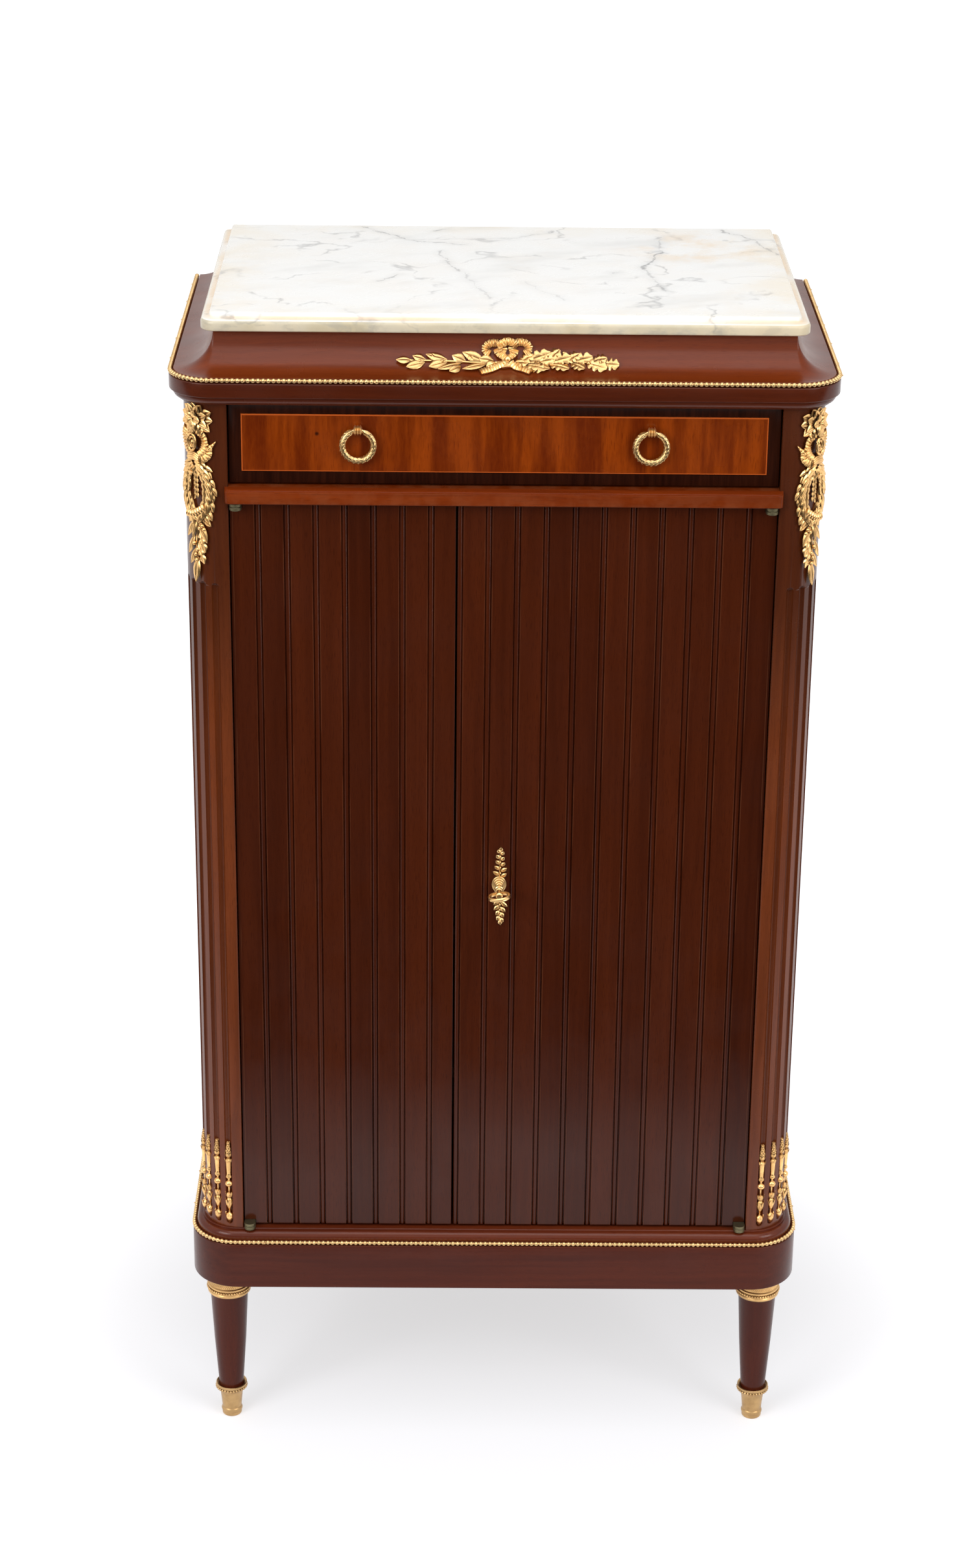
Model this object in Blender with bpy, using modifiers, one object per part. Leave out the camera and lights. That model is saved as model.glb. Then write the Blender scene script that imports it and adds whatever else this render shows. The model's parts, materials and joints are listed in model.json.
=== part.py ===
"""Music cabinet in the Louis XVI taste: two reeded doors, one drawer, marble top, gilt mounts."""

from math import asin, atan2, cos, pi, radians, sin, sqrt

import bmesh
import bpy
from mathutils import Matrix, Vector

# Clearances
seat = 0.0003
side_gap = 0.0012
meeting_gap = 0.0014
door_gap = 0.0025
drawer_gap = 0.0020
runner_gap = 0.0005
ring_play = 0.0003
shank_play = 0.0006

# Carcass
opening_width = 0.5454
post_edge = 0.0030
post_radius = 0.0418
post_depth = 0.0500
post_proud = 0.0050
side_panel_thickness = 0.0150
side_panel_inset = 0.0030
rear_stile_width = 0.0350
rear_stile_thickness = 0.0200
back_panel_thickness = 0.0100
flute_count = 4
flute_step = radians(19.0)
flute_radius = 0.0038
flute_depth = 0.0032
flute_top_drop = 0.1870
flute_foot_rise = 0.0040
torch_height = 0.0994
torch_radius = 0.0037
torch_seat = 0.0010
torch_rise = 0.0011

# Base and legs
plinth_bottom = 0.1856
plinth_height = 0.0530
plinth_projection = 0.0125
plinth_wall = 0.0220
plinth_corner = 0.0500
plinth_block = 0.1000
base_board_thickness = 0.0149
base_tongue = 0.0060
base_edge_inset = 0.0045
base_ovolo = 0.0060
leg_inset = 0.0385
leg_top_radius = 0.0210
leg_foot_radius = 0.0135
leg_tenon_radius = 0.0070
leg_tenon_length = 0.0210
collar_height = 0.0250
collar_radius = 0.0260
sabot_height = 0.0405
sabot_ring_radius = 0.0175
sabot_ring_height = 0.0075
sabot_cup_radius = 0.0110
sabot_foot_radius = 0.0105
sabot_seat_depth = 0.0048
sabot_rounding = 0.0010
sabot_throat = 0.0060
sabot_foot_height = 0.0090

# Drawer rail, drawer and top
rail_height = 0.0160
rail_projection = 0.0095
rail_overlap = 0.0032
rail_end_radius = 0.0060
dust_board_thickness = 0.0100
guide_height = 0.0300
drawer_height = 0.0810
drawer_front_thickness = 0.0180
drawer_panel_proud = 0.0015
drawer_border_side = 0.0125
drawer_border_top = 0.0100
drawer_border_bottom = 0.0125
drawer_side_thickness = 0.0100
drawer_side_drop = 0.0060
drawer_bottom_thickness = 0.0060
drawer_bottom_rise = 0.0080
drawer_groove = 0.0040
drawer_length = 0.3380
drawer_rear_room = 0.0267
cornice_thickness = 0.0235
cornice_projection = 0.0130
cornice_corner = 0.0450
cornice_bed_inset = 0.0085
cornice_bed_height = 0.0085
cornice_fillet_inset = 0.0035
cove_height = 0.0428
cove_lip = 0.0045
cove_lip_inset = 0.0045
cove_top_setback = 0.0120
marble_inset = 0.0323
marble_edge = 0.0115
marble_field = 0.0057
marble_field_inset = 0.0085
marble_corner = 0.0140
marble_back_gap = 0.0020
bead_radius = 0.0027
bead_inset = 0.0015

# Doors, pivots and lock
door_height = 0.8220
door_thickness = 0.0200
left_slats = 8
right_slats = 11
joint_width = 0.0072
joint_bead = 0.0046
joint_depth = 0.0022
meeting_bevel = 0.0022
leaf_length = 0.0300
leaf_thickness = 0.0034
leaf_gap = 0.0004
knuckle_radius = 0.0060
knuckle_reach = 0.0065
pivot_pin_radius = 0.0023
lock_height = 0.4100
lock_case_depth = 0.0120
lock_case_height = 0.0620
lock_case_right = 0.0300
lock_case_wall = 0.0015
bolt_height = 0.0120
bolt_thickness = 0.0050
bolt_rise = 0.0060
bolt_tail = 0.0200
bolt_notch_half = 0.0120
bolt_notch_depth = 0.0065
key_reach = 0.0463
key_shank_radius = 0.0025
key_collar_radius = 0.0046
key_bow_half_width = 0.0096
key_bow_half_length = 0.0080
key_bow_wire = 0.0017
key_bit_length = 0.0105
key_bit_thickness = 0.0020
escutcheon_height = 0.0890
escutcheon_half_width = 0.0080
escutcheon_thickness = 0.0024

# Ring pulls, shelves and gilt mounts
ring_spacing = 0.2880
ring_radius = 0.0155
ring_wire = 0.0029
ring_drop = 0.0238
ring_reach = 0.0068
boss_radius = 0.0062
boss_half_width = 0.0040
boss_plate_thickness = 0.0022
shelf_count = 4
shelf_thickness = 0.0120
shelf_housing = 0.0050
shelf_setback = 0.0040
mount_lift = 0.0026
mount_stem = 0.0013
mount_relief = 0.0040
heart_relief = 0.0044
frieze_mount_half_length = 0.1085
frieze_leaves = 8
frieze_leaf_length = 0.0220
frieze_leaf_width = 0.0096
bow_loop_half_width = 0.0100
bow_loop_half_height = 0.0070
bow_wire = 0.0021
bow_knot = 0.0115
bow_tail_length = 0.0180
bow_tail_width = 0.0080
corner_mount_height = 0.1830
mount_turn = radians(39.0)
petal_count = 9
flower_radius = 0.0200
flower_heart = 0.0150
petal_width = 0.0120
fold_length = 0.0190
fold_width = 0.0120
knot_size = 0.0135
tail_length = 0.0210
tail_width = 0.0090
tail_fork_length = 0.0130
tail_fork_width = 0.0060
wreath_wire = 0.0034
wreath_leaves = 12
wreath_half_height = 0.0270
wreath_half_width = 0.0130
wreath_leaf_length = 0.0180
wreath_leaf_width = 0.0110
pendant_rows = 3
pendant_leaf_length = 0.0230
pendant_leaf_width = 0.0110

# Facets
corner_steps = 8
round_steps = 16
post_steps = 14
ring_steps = 24
bow_steps = 16
torch_steps = 6
smooth_angle = radians(35.0)

# Places that follow from the sizes
body_half = opening_width / 2 + post_edge + post_radius
door_to_back = drawer_length + drawer_rear_room + rear_stile_thickness
door_face = (key_reach - door_to_back) / 2
door_back = door_face + door_thickness
back = door_face + door_to_back
post_front = door_face - post_proud
post_back = post_front + post_depth
stile_front = back - rear_stile_thickness
panel_outer = body_half - side_panel_inset
panel_inner = panel_outer - side_panel_thickness
base_bottom = plinth_bottom + plinth_height
base_top = base_bottom + base_board_thickness
door_bottom = base_top + door_gap
door_top = door_bottom + door_height
rail_bottom = door_top + door_gap
rail_top = rail_bottom + rail_height
drawer_bottom_edge = rail_top + drawer_gap
drawer_top_edge = drawer_bottom_edge + drawer_height
cornice_bottom = drawer_top_edge + drawer_gap
cornice_top = cornice_bottom + cornice_thickness
cornice_half = body_half + cornice_projection
cornice_front = post_front - cornice_projection
marble_bottom = cornice_top + cove_height
plinth_half = body_half + plinth_projection
plinth_front = post_front - plinth_projection
leg_x = plinth_half - leg_inset
leg_front_y = plinth_front + leg_inset
leg_rear_y = back - leg_inset
slat_pitch = opening_width / (left_slats + right_slats)
meeting_x = -opening_width / 2 + left_slats * slat_pitch - joint_bead / 2 - meeting_gap / 2
lock_x = -opening_width / 2 + (left_slats + 1.5) * slat_pitch
lock_z = base_top + lock_height
door_half = opening_width / 2 - side_gap
pivot_x = door_half - knuckle_radius
pivot_y = door_face - knuckle_reach
ring_z = drawer_top_edge - ring_drop
ring_y = door_face - ring_reach
lock_case_left = meeting_x + meeting_gap / 2 + meeting_bevel + seat
shelf_front = post_back + shelf_setback
drawer_back_end = door_face + drawer_length

finishes = {
    "mahogany": ((0.16, 0.045, 0.018), 0.22, 0.0),
    "dark_mahogany": ((0.075, 0.018, 0.008), 0.20, 0.0),
    "figured_mahogany": ((0.30, 0.095, 0.025), 0.20, 0.0),
    "plain_wood": ((0.36, 0.22, 0.12), 0.55, 0.0),
    "gilt_bronze": ((0.80, 0.53, 0.22), 0.32, 1.0),
    "brass": ((0.62, 0.43, 0.18), 0.38, 1.0),
    "steel": ((0.42, 0.40, 0.38), 0.40, 1.0),
    "marble": ((0.90, 0.88, 0.83), 0.18, 0.0),
}

for item in list(bpy.data.objects):
    bpy.data.objects.remove(item, do_unlink=True)

cabinet_parts = bpy.data.collections.new("music_cabinet")
cutter_parts = bpy.data.collections.new("cutters")
bpy.context.scene.collection.children.link(cabinet_parts)
bpy.context.scene.collection.children.link(cutter_parts)


def give_material(item, finish):
    """Give one piece its own material in the named finish."""
    colour, roughness, metallic = finishes[finish]
    material = bpy.data.materials.new(item.name + "_" + finish)
    material.use_nodes = True
    shader = material.node_tree.nodes["Principled BSDF"]
    shader.inputs["Base Color"].default_value = (*colour, 1.0)
    shader.inputs["Roughness"].default_value = roughness
    shader.inputs["Metallic"].default_value = metallic
    item.data.materials.clear()
    item.data.materials.append(material)


def add_mesh(name, shape, finish=None):
    """Turn a bmesh into a part, or into a cutter when it has no finish."""
    bmesh.ops.recalc_face_normals(shape, faces=shape.faces)
    mesh = bpy.data.meshes.new(name)
    shape.to_mesh(mesh)
    shape.free()
    mesh.shade_smooth()
    mesh.set_sharp_from_angle(angle=smooth_angle)
    item = bpy.data.objects.new(name, mesh)
    if finish:
        cabinet_parts.objects.link(item)
        give_material(item, finish)
    else:
        cutter_parts.objects.link(item)
        item.hide_render = True
        item.display_type = "WIRE"
    return item


def box(name, low, high, finish=None):
    """A block between two corners."""
    shape = bmesh.new()
    size = [b - a for a, b in zip(low, high)]
    middle = [(a + b) / 2 for a, b in zip(low, high)]
    matrix = Matrix.Translation(middle) @ Matrix.Diagonal((*size, 1.0))
    bmesh.ops.create_cube(shape, size=1.0, matrix=matrix)
    return add_mesh(name, shape, finish)


def cylinder(name, centre, radius, length, axis, finish=None, steps=16):
    """A rod centred on a point, along one of the three axes."""
    turns = {
        "X": Matrix.Rotation(pi / 2, 4, "Y"),
        "Y": Matrix.Rotation(pi / 2, 4, "X"),
        "Z": Matrix.Identity(4),
    }
    shape = bmesh.new()
    bmesh.ops.create_cone(
        shape, cap_ends=True, segments=steps, radius1=radius, radius2=radius, depth=length,
        matrix=Matrix.Translation(centre) @ turns[axis])
    return add_mesh(name, shape, finish)


def loft(name, sections, finish, ring=False):
    """Skin a row of outlines that have equal counts of points."""
    shape = bmesh.new()
    loops = [[shape.verts.new(point) for point in section] for section in sections]
    pairs = list(zip(loops, loops[1:]))
    if ring:
        pairs.append((loops[-1], loops[0]))
    else:
        shape.faces.new(loops[0])
        shape.faces.new(loops[-1])
    for lower, upper in pairs:
        for index in range(len(lower)):
            follower = (index + 1) % len(lower)
            shape.faces.new((lower[index], lower[follower], upper[follower], upper[index]))
    return add_mesh(name, shape, finish)


def plan_outline(half, front, rear, front_radius, rear_radius, height, rear_steps=1):
    """A rectangle in plan with rounded corners, at one height."""
    points = []
    for centre_x, centre_y, radius, start, steps in (
            (-half + rear_radius, rear - rear_radius, rear_radius, 90.0, rear_steps),
            (-half + front_radius, front + front_radius, front_radius, 180.0, corner_steps),
            (half - front_radius, front + front_radius, front_radius, 270.0, corner_steps),
            (half - rear_radius, rear - rear_radius, rear_radius, 0.0, rear_steps)):
        for step in range(steps + 1):
            angle = radians(start + 90.0 * step / steps)
            x = centre_x + radius * cos(angle)
            y = centre_y + radius * sin(angle)
            points.append(Vector((x, y, height)))
    return points


def moulded_board(name, half, front, rear, corner, profile, finish):
    """A board whose front and side edges follow a profile of inset and height."""
    sections = []
    for inset, height in profile:
        radius = max(corner - inset, seat * 6)
        sections.append(plan_outline(half - inset, front + inset, rear, radius, seat * 2, height))
    return loft(name, sections, finish)


def curve_to_mesh(curve_item, finish):
    """Replace a curve by its welded mesh, as a part or as a cutter."""
    bpy.context.view_layer.update()
    evaluated = curve_item.evaluated_get(bpy.context.evaluated_depsgraph_get())
    mesh = bpy.data.meshes.new_from_object(evaluated)
    shape = bmesh.new()
    shape.from_mesh(mesh)
    shape.transform(curve_item.matrix_world)
    bmesh.ops.remove_doubles(shape, verts=shape.verts, dist=0.000001)
    bmesh.ops.dissolve_limit(shape, angle_limit=radians(0.1), verts=shape.verts, edges=shape.edges)
    name = curve_item.name
    bpy.data.objects.remove(curve_item, do_unlink=True)
    bpy.data.meshes.remove(mesh)
    return add_mesh(name, shape, finish)


def add_spline(curve, points, closed):
    """Add one straight-segment spline to a curve."""
    spline = curve.splines.new("POLY")
    spline.points.add(len(points) - 1)
    for slot, point in zip(spline.points, points):
        slot.co = (*point, 1.0)
    spline.use_cyclic_u = closed


def plate(name, outline, low, high, finish, holes=(), upright=False):
    """An outline with holes, in plan or upright facing the front, between two levels."""
    curve = bpy.data.curves.new(name, "CURVE")
    curve.dimensions = "2D"
    curve.fill_mode = "BOTH"
    curve.extrude = (high - low) / 2
    add_spline(curve, [(x, y, 0.0) for x, y in outline], True)
    for hole in holes:
        add_spline(curve, [(x, y, 0.0) for x, y in hole], True)
    item = bpy.data.objects.new(name, curve)
    cabinet_parts.objects.link(item)
    middle = (low + high) / 2
    if upright:
        item.rotation_euler = (pi / 2, 0.0, 0.0)
        item.location = (0.0, middle, 0.0)
    else:
        item.location = (0.0, 0.0, middle)
    return curve_to_mesh(item, finish)


def tube(name, points, radius, finish, closed=False, resolution=1):
    """A round wire along a row of points."""
    curve = bpy.data.curves.new(name, "CURVE")
    curve.dimensions = "3D"
    curve.bevel_depth = radius
    curve.bevel_resolution = resolution
    curve.use_fill_caps = True
    add_spline(curve, points, closed)
    item = bpy.data.objects.new(name, curve)
    cabinet_parts.objects.link(item)
    return curve_to_mesh(item, finish)


def turned(name, profile, place, finish, steps=round_steps, closed=False, axis="Z"):
    """Turn a profile of radius and height about an upright axis, or one that points to the front."""
    mesh = bpy.data.meshes.new(name)
    edges = [(index, index + 1) for index in range(len(profile) - 1)]
    if closed:
        edges.append((len(profile) - 1, 0))
    mesh.from_pydata([(radius, 0.0, height) for radius, height in profile], edges, [])
    item = bpy.data.objects.new(name, mesh)
    item.location = place
    if axis == "front":
        item.rotation_euler = (pi / 2, 0.0, 0.0)
    screw = item.modifiers.new("turning", "SCREW")
    screw.steps = steps
    screw.render_steps = steps
    screw.use_merge_vertices = True
    screw.merge_threshold = 0.00001
    if finish:
        cabinet_parts.objects.link(item)
        give_material(item, finish)
    else:
        cutter_parts.objects.link(item)
        item.hide_render = True
        item.display_type = "WIRE"
    return item


def combine(target, other, operation, overlapping=False, solver="EXACT"):
    """Cut one piece with another, or join them."""
    modifier = target.modifiers.new(operation.lower(), "BOOLEAN")
    modifier.operation = operation
    modifier.solver = solver
    modifier.use_self = overlapping
    modifier.object = other


def circle(centre_x, centre_y, radius, steps=16):
    """Points round a circle."""
    angles = [2 * pi * step / steps for step in range(steps)]
    return [(centre_x + radius * cos(angle), centre_y + radius * sin(angle)) for angle in angles]


def joint_axis(name, place, children):
    """An empty on a joint's axis that carries the pieces of one moving body."""
    empty = bpy.data.objects.new(name, None)
    empty.empty_display_size = 0.03
    empty.location = place
    cabinet_parts.objects.link(empty)
    for child in children:
        child.parent = empty
        child.matrix_parent_inverse = Matrix.Translation(place).inverted()
    return empty


def build_top():
    """Marble, coved frieze, cornice and the beaded strip."""
    slab_half = cornice_half - marble_inset
    slab_front = cornice_front + marble_inset
    slab_back = back - marble_back_gap
    step_height = marble_bottom + marble_edge
    top = step_height + marble_field
    nose = marble_edge * 0.35
    profile = [(nose * 0.3, marble_bottom + seat), (0.0, marble_bottom + seat + nose * 0.3)]
    for step in range(4):
        angle = radians(30.0 * step)
        profile.append((nose * (1 - cos(angle)), step_height - nose + nose * sin(angle)))
    profile.append((marble_field_inset - marble_field * 0.5, step_height))
    profile.append((marble_field_inset, step_height + marble_field * 0.6))
    profile.append((marble_field_inset + marble_field * 0.4, top))
    moulded_board("marble_top", slab_half, slab_front, slab_back, marble_corner, profile, "marble")

    cove_top_inset = marble_inset + cove_top_setback
    profile = [(cove_lip_inset, cornice_top + seat), (cove_lip_inset, cornice_top + cove_lip)]
    for step in range(1, 9):
        angle = radians(90.0 * step / 8)
        profile.append((
            cove_lip_inset + (cove_top_inset - cove_lip_inset) * sin(angle),
            cornice_top + cove_lip + (cove_height - cove_lip) * (1 - cos(angle))))
    moulded_board("cove_frieze", cornice_half, cornice_front, back, cornice_corner, profile, "mahogany")

    bed_top = cornice_bottom + cornice_bed_height
    profile = [(cornice_bed_inset, cornice_bottom)]
    for step in range(5):
        angle = radians(22.5 * step)
        profile.append((
            cornice_bed_inset - (cornice_bed_inset - cornice_fillet_inset) * (1 - cos(angle)),
            cornice_bottom + seat * 4 + (cornice_bed_height - seat * 4) * sin(angle)))
    profile.append((0.0, bed_top + seat))
    profile.append((0.0, cornice_top - seat * 3))
    profile.append((seat * 3, cornice_top))
    moulded_board("cornice", cornice_half, cornice_front, back, cornice_corner, profile, "mahogany")

    bead_strip("cornice_bead", cornice_half, cornice_front, cornice_corner, cornice_top)


def bead_strip(name, half, front, corner, level):
    """The gilt strip in the rebate along the front and both sides."""
    path = plan_outline(half - bead_inset, front + bead_inset, back, corner - bead_inset, seat * 2,
                        level + bead_radius + seat)
    tube(name, path[1:-1], bead_radius, "gilt_bronze")


def build_base():
    """Plinth with its corner blocks, the moulded base board, the beaded strip, and four legs."""
    sections = []
    for half, front, rear, front_radius, rear_radius, height in (
            (plinth_half, plinth_front, back, plinth_corner, seat * 2, plinth_bottom),
            (plinth_half, plinth_front, back, plinth_corner, seat * 2, base_bottom),
            (plinth_half - plinth_wall, plinth_front + plinth_wall, back - plinth_wall,
             plinth_block, plinth_block, base_bottom),
            (plinth_half - plinth_wall, plinth_front + plinth_wall, back - plinth_wall,
             plinth_block, plinth_block, plinth_bottom)):
        sections.append(plan_outline(half, front, rear, front_radius, rear_radius, height, corner_steps))
    loft("plinth", sections, "mahogany", ring=True)

    ovolo_bottom = base_bottom + base_tongue
    profile = [(base_edge_inset, base_bottom + seat), (base_edge_inset, ovolo_bottom)]
    for step in range(1, 6):
        angle = radians(18.0 * step)
        profile.append((
            base_edge_inset + base_ovolo * (1 - cos(angle)),
            ovolo_bottom + (base_top - ovolo_bottom) * sin(angle)))
    moulded_board("base_board", plinth_half, plinth_front, back, plinth_corner, profile, "mahogany")
    bead_strip("plinth_bead", plinth_half, plinth_front, plinth_corner, base_bottom)

    for row, y in (("front", leg_front_y), ("rear", leg_rear_y)):
        for side, x in (("left", -leg_x), ("right", leg_x)):
            build_leg(row + "_" + side, (x, y, 0.0))


def build_leg(name, place):
    """One tapered round leg with its gilt collar and its gilt shoe."""
    leg_top = plinth_bottom - seat
    collar_bottom = leg_top - collar_height
    shoulder = sabot_height - sabot_seat_depth + seat
    tenon_end = shoulder - leg_tenon_length
    inner_foot = leg_foot_radius - seat
    turned(name + "_leg", [
        (0.0, leg_top), (leg_top_radius, leg_top), (leg_top_radius, collar_bottom),
        (leg_top_radius - seat, collar_bottom - seat), (leg_foot_radius, sabot_height + seat),
        (inner_foot, shoulder), (leg_tenon_radius, shoulder), (leg_tenon_radius, tenon_end),
        (0.0, tenon_end)],
        place, "mahogany")

    bore = leg_top_radius + seat
    band = collar_radius - bore
    turned(name + "_collar", [
        (bore, leg_top), (bore + band * 0.8, leg_top), (collar_radius, leg_top - collar_height * 0.12),
        (bore + band * 0.7, leg_top - collar_height * 0.24),
        (bore + band * 0.7, leg_top - collar_height * 0.62),
        (collar_radius, leg_top - collar_height * 0.74),
        (bore + band * 0.85, leg_top - collar_height * 0.92), (bore, collar_bottom)],
        place, "gilt_bronze", closed=True)

    ring_bottom = sabot_height - sabot_ring_height
    cup_wall = leg_tenon_radius + seat
    floor = tenon_end - seat
    rim = leg_foot_radius + seat
    bulge = sabot_foot_radius + sabot_rounding
    turned(name + "_sabot", [
        (0.0, floor), (cup_wall, floor), (cup_wall, shoulder - seat), (rim, shoulder - seat),
        (rim, sabot_height), (sabot_ring_radius - sabot_rounding, sabot_height),
        (sabot_ring_radius, sabot_height - sabot_ring_height * 0.45),
        (sabot_ring_radius - sabot_rounding, ring_bottom),
        (sabot_cup_radius + sabot_rounding, ring_bottom - sabot_rounding),
        (sabot_cup_radius, ring_bottom - sabot_throat),
        (sabot_foot_radius, sabot_foot_height), (bulge, sabot_foot_height - sabot_rounding * 2),
        (bulge, sabot_rounding * 3), (sabot_foot_radius, 0.0), (0.0, 0.0)],
        place, "gilt_bronze")


def build_posts():
    """The two fluted quarter-round front posts, with a torch drop at the foot of each flute."""
    foot = base_top + seat
    head = cornice_bottom - seat
    flute_top = cornice_bottom - flute_top_drop
    flute_foot = base_top + flute_foot_rise
    for side, sign in (("left", -1.0), ("right", 1.0)):
        inner = opening_width / 2
        centre = (inner + post_edge, post_front + post_radius)
        outline = [(inner, post_back), (inner, post_front)]
        for step in range(post_steps + 1):
            angle = radians(90.0 * step / post_steps)
            outline.append((centre[0] + post_radius * sin(angle), centre[1] - post_radius * cos(angle)))
        outline.append((body_half, post_back))
        post = plate(side + "_front_post", [(sign * x, y) for x, y in outline], foot, head, "mahogany")
        for index in range(flute_count):
            angle = radians(45.0) + (index - (flute_count - 1) / 2) * flute_step
            reach = post_radius + flute_radius - flute_depth
            place = (sign * (centre[0] + reach * sin(angle)), centre[1] - reach * cos(angle), 0.0)
            profile = []
            for step in range(5):
                bend = radians(22.5 * step)
                profile.append((flute_radius * sin(bend), flute_top - flute_radius * (1 - cos(bend))))
            for step in range(5):
                bend = radians(22.5 * step)
                profile.append((flute_radius * cos(bend), flute_foot + flute_radius * (1 - sin(bend))))
            profile[0] = (0.0, flute_top)
            profile[-1] = (0.0, flute_foot)
            cutter = turned(side + "_flute_" + str(index + 1), profile, place, None, steps=12)
            combine(post, cutter, "DIFFERENCE")
        for index in range(flute_count):
            angle = radians(45.0) + (index - (flute_count - 1) / 2) * flute_step
            reach = post_radius - flute_depth + torch_radius - torch_seat
            place = (sign * (centre[0] + reach * sin(angle)), centre[1] - reach * cos(angle),
                     flute_foot + torch_rise)
            torch = turned(side + "_torch_" + str(index + 1), torch_profile(), place, None, torch_steps)
            combine(post, torch, "UNION")


def torch_profile():
    """Outline of a torch drop, top to bottom: cone, torch, ball, bud and pendant on a thin stem."""
    shares = [
        (0.0, 1.0), (0.70, 0.88), (0.45, 0.79), (0.85, 0.77), (0.40, 0.55), (1.0, 0.49), (0.30, 0.42),
        (0.85, 0.31), (0.30, 0.16), (0.95, 0.08), (0.0, 0.0)]
    return [(torch_radius * width, torch_height * rise) for width, rise in shares]


def build_carcass():
    """Rear stiles, side panels, back, drawer rail, dust board, drawer guides and shelves."""
    foot = base_top + seat
    head = cornice_bottom - seat
    clear_height = rail_top - dust_board_thickness - base_top
    bay = (clear_height - shelf_count * shelf_thickness) / (shelf_count + 1)
    shelf_levels = [base_top + bay + index * (bay + shelf_thickness) for index in range(shelf_count)]
    for side, sign in (("left", -1.0), ("right", 1.0)):
        low, high = sorted((sign * (body_half - rear_stile_width), sign * body_half))
        box(side + "_rear_stile", (low, stile_front, foot), (high, back, head), "mahogany")
        low, high = sorted((sign * panel_inner, sign * panel_outer))
        panel = box(side + "_side_panel", (low, post_back + seat, foot), (high, stile_front - seat, head),
                    "mahogany")
        low, high = sorted((sign * (panel_inner - shelf_housing), sign * (panel_inner + shelf_housing)))
        for index, level in enumerate(shelf_levels):
            housing = box(
                side + "_housing_" + str(index + 1), (low, shelf_front - seat, level - seat),
                (high, stile_front + seat, level + shelf_thickness + seat))
            combine(panel, housing, "DIFFERENCE")
        low, high = sorted((sign * opening_width / 2, sign * (panel_inner - seat)))
        box(side + "_drawer_guide", (low, post_back + seat, rail_top + seat),
            (high, stile_front - seat, rail_top + guide_height), "plain_wood")

    back_half = body_half - rear_stile_width - seat
    box("back_panel", (-back_half, stile_front, foot), (back_half, stile_front + back_panel_thickness, head),
        "plain_wood")
    dust_half = panel_inner - seat
    box("dust_board", (-dust_half, post_back + seat, rail_top - dust_board_thickness),
        (dust_half, stile_front - seat, rail_top), "plain_wood")
    shelf_half = panel_inner + shelf_housing - seat
    for index, level in enumerate(shelf_levels):
        box("shelf_" + str(index + 1), (-shelf_half, shelf_front, level),
            (shelf_half, stile_front - seat, level + shelf_thickness), "mahogany")

    sections = []
    front = post_front - rail_projection
    lip = rail_projection * 0.15
    for setback, height in (
            (lip, rail_bottom), (0.0, rail_bottom + lip), (0.0, rail_top - rail_height * 0.18),
            (lip, rail_top - rail_height * 0.10), (rail_projection * 0.55, rail_top - rail_height * 0.06),
            (rail_projection * 0.85, rail_top)):
        sections.append(rail_outline(front + setback, height))
    loft("drawer_rail", sections, "mahogany")


def rail_outline(front, height):
    """Plan of the drawer rail: a bar between the posts with a nosing that laps over their edges."""
    inner = opening_width / 2 - seat
    outer = opening_width / 2 + rail_overlap
    lap = post_front - seat
    radius = min(rail_end_radius, (lap - front) * 0.9)
    half = [(inner, post_back), (inner, lap), (outer, lap)]
    for step in range(5):
        angle = radians(22.5 * step)
        half.append((outer - radius + radius * cos(angle), front + radius - radius * sin(angle)))
    points = [(x, y) for x, y in half]
    points.extend((-x, y) for x, y in reversed(half))
    return [Vector((x, y, height)) for x, y in points]


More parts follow.
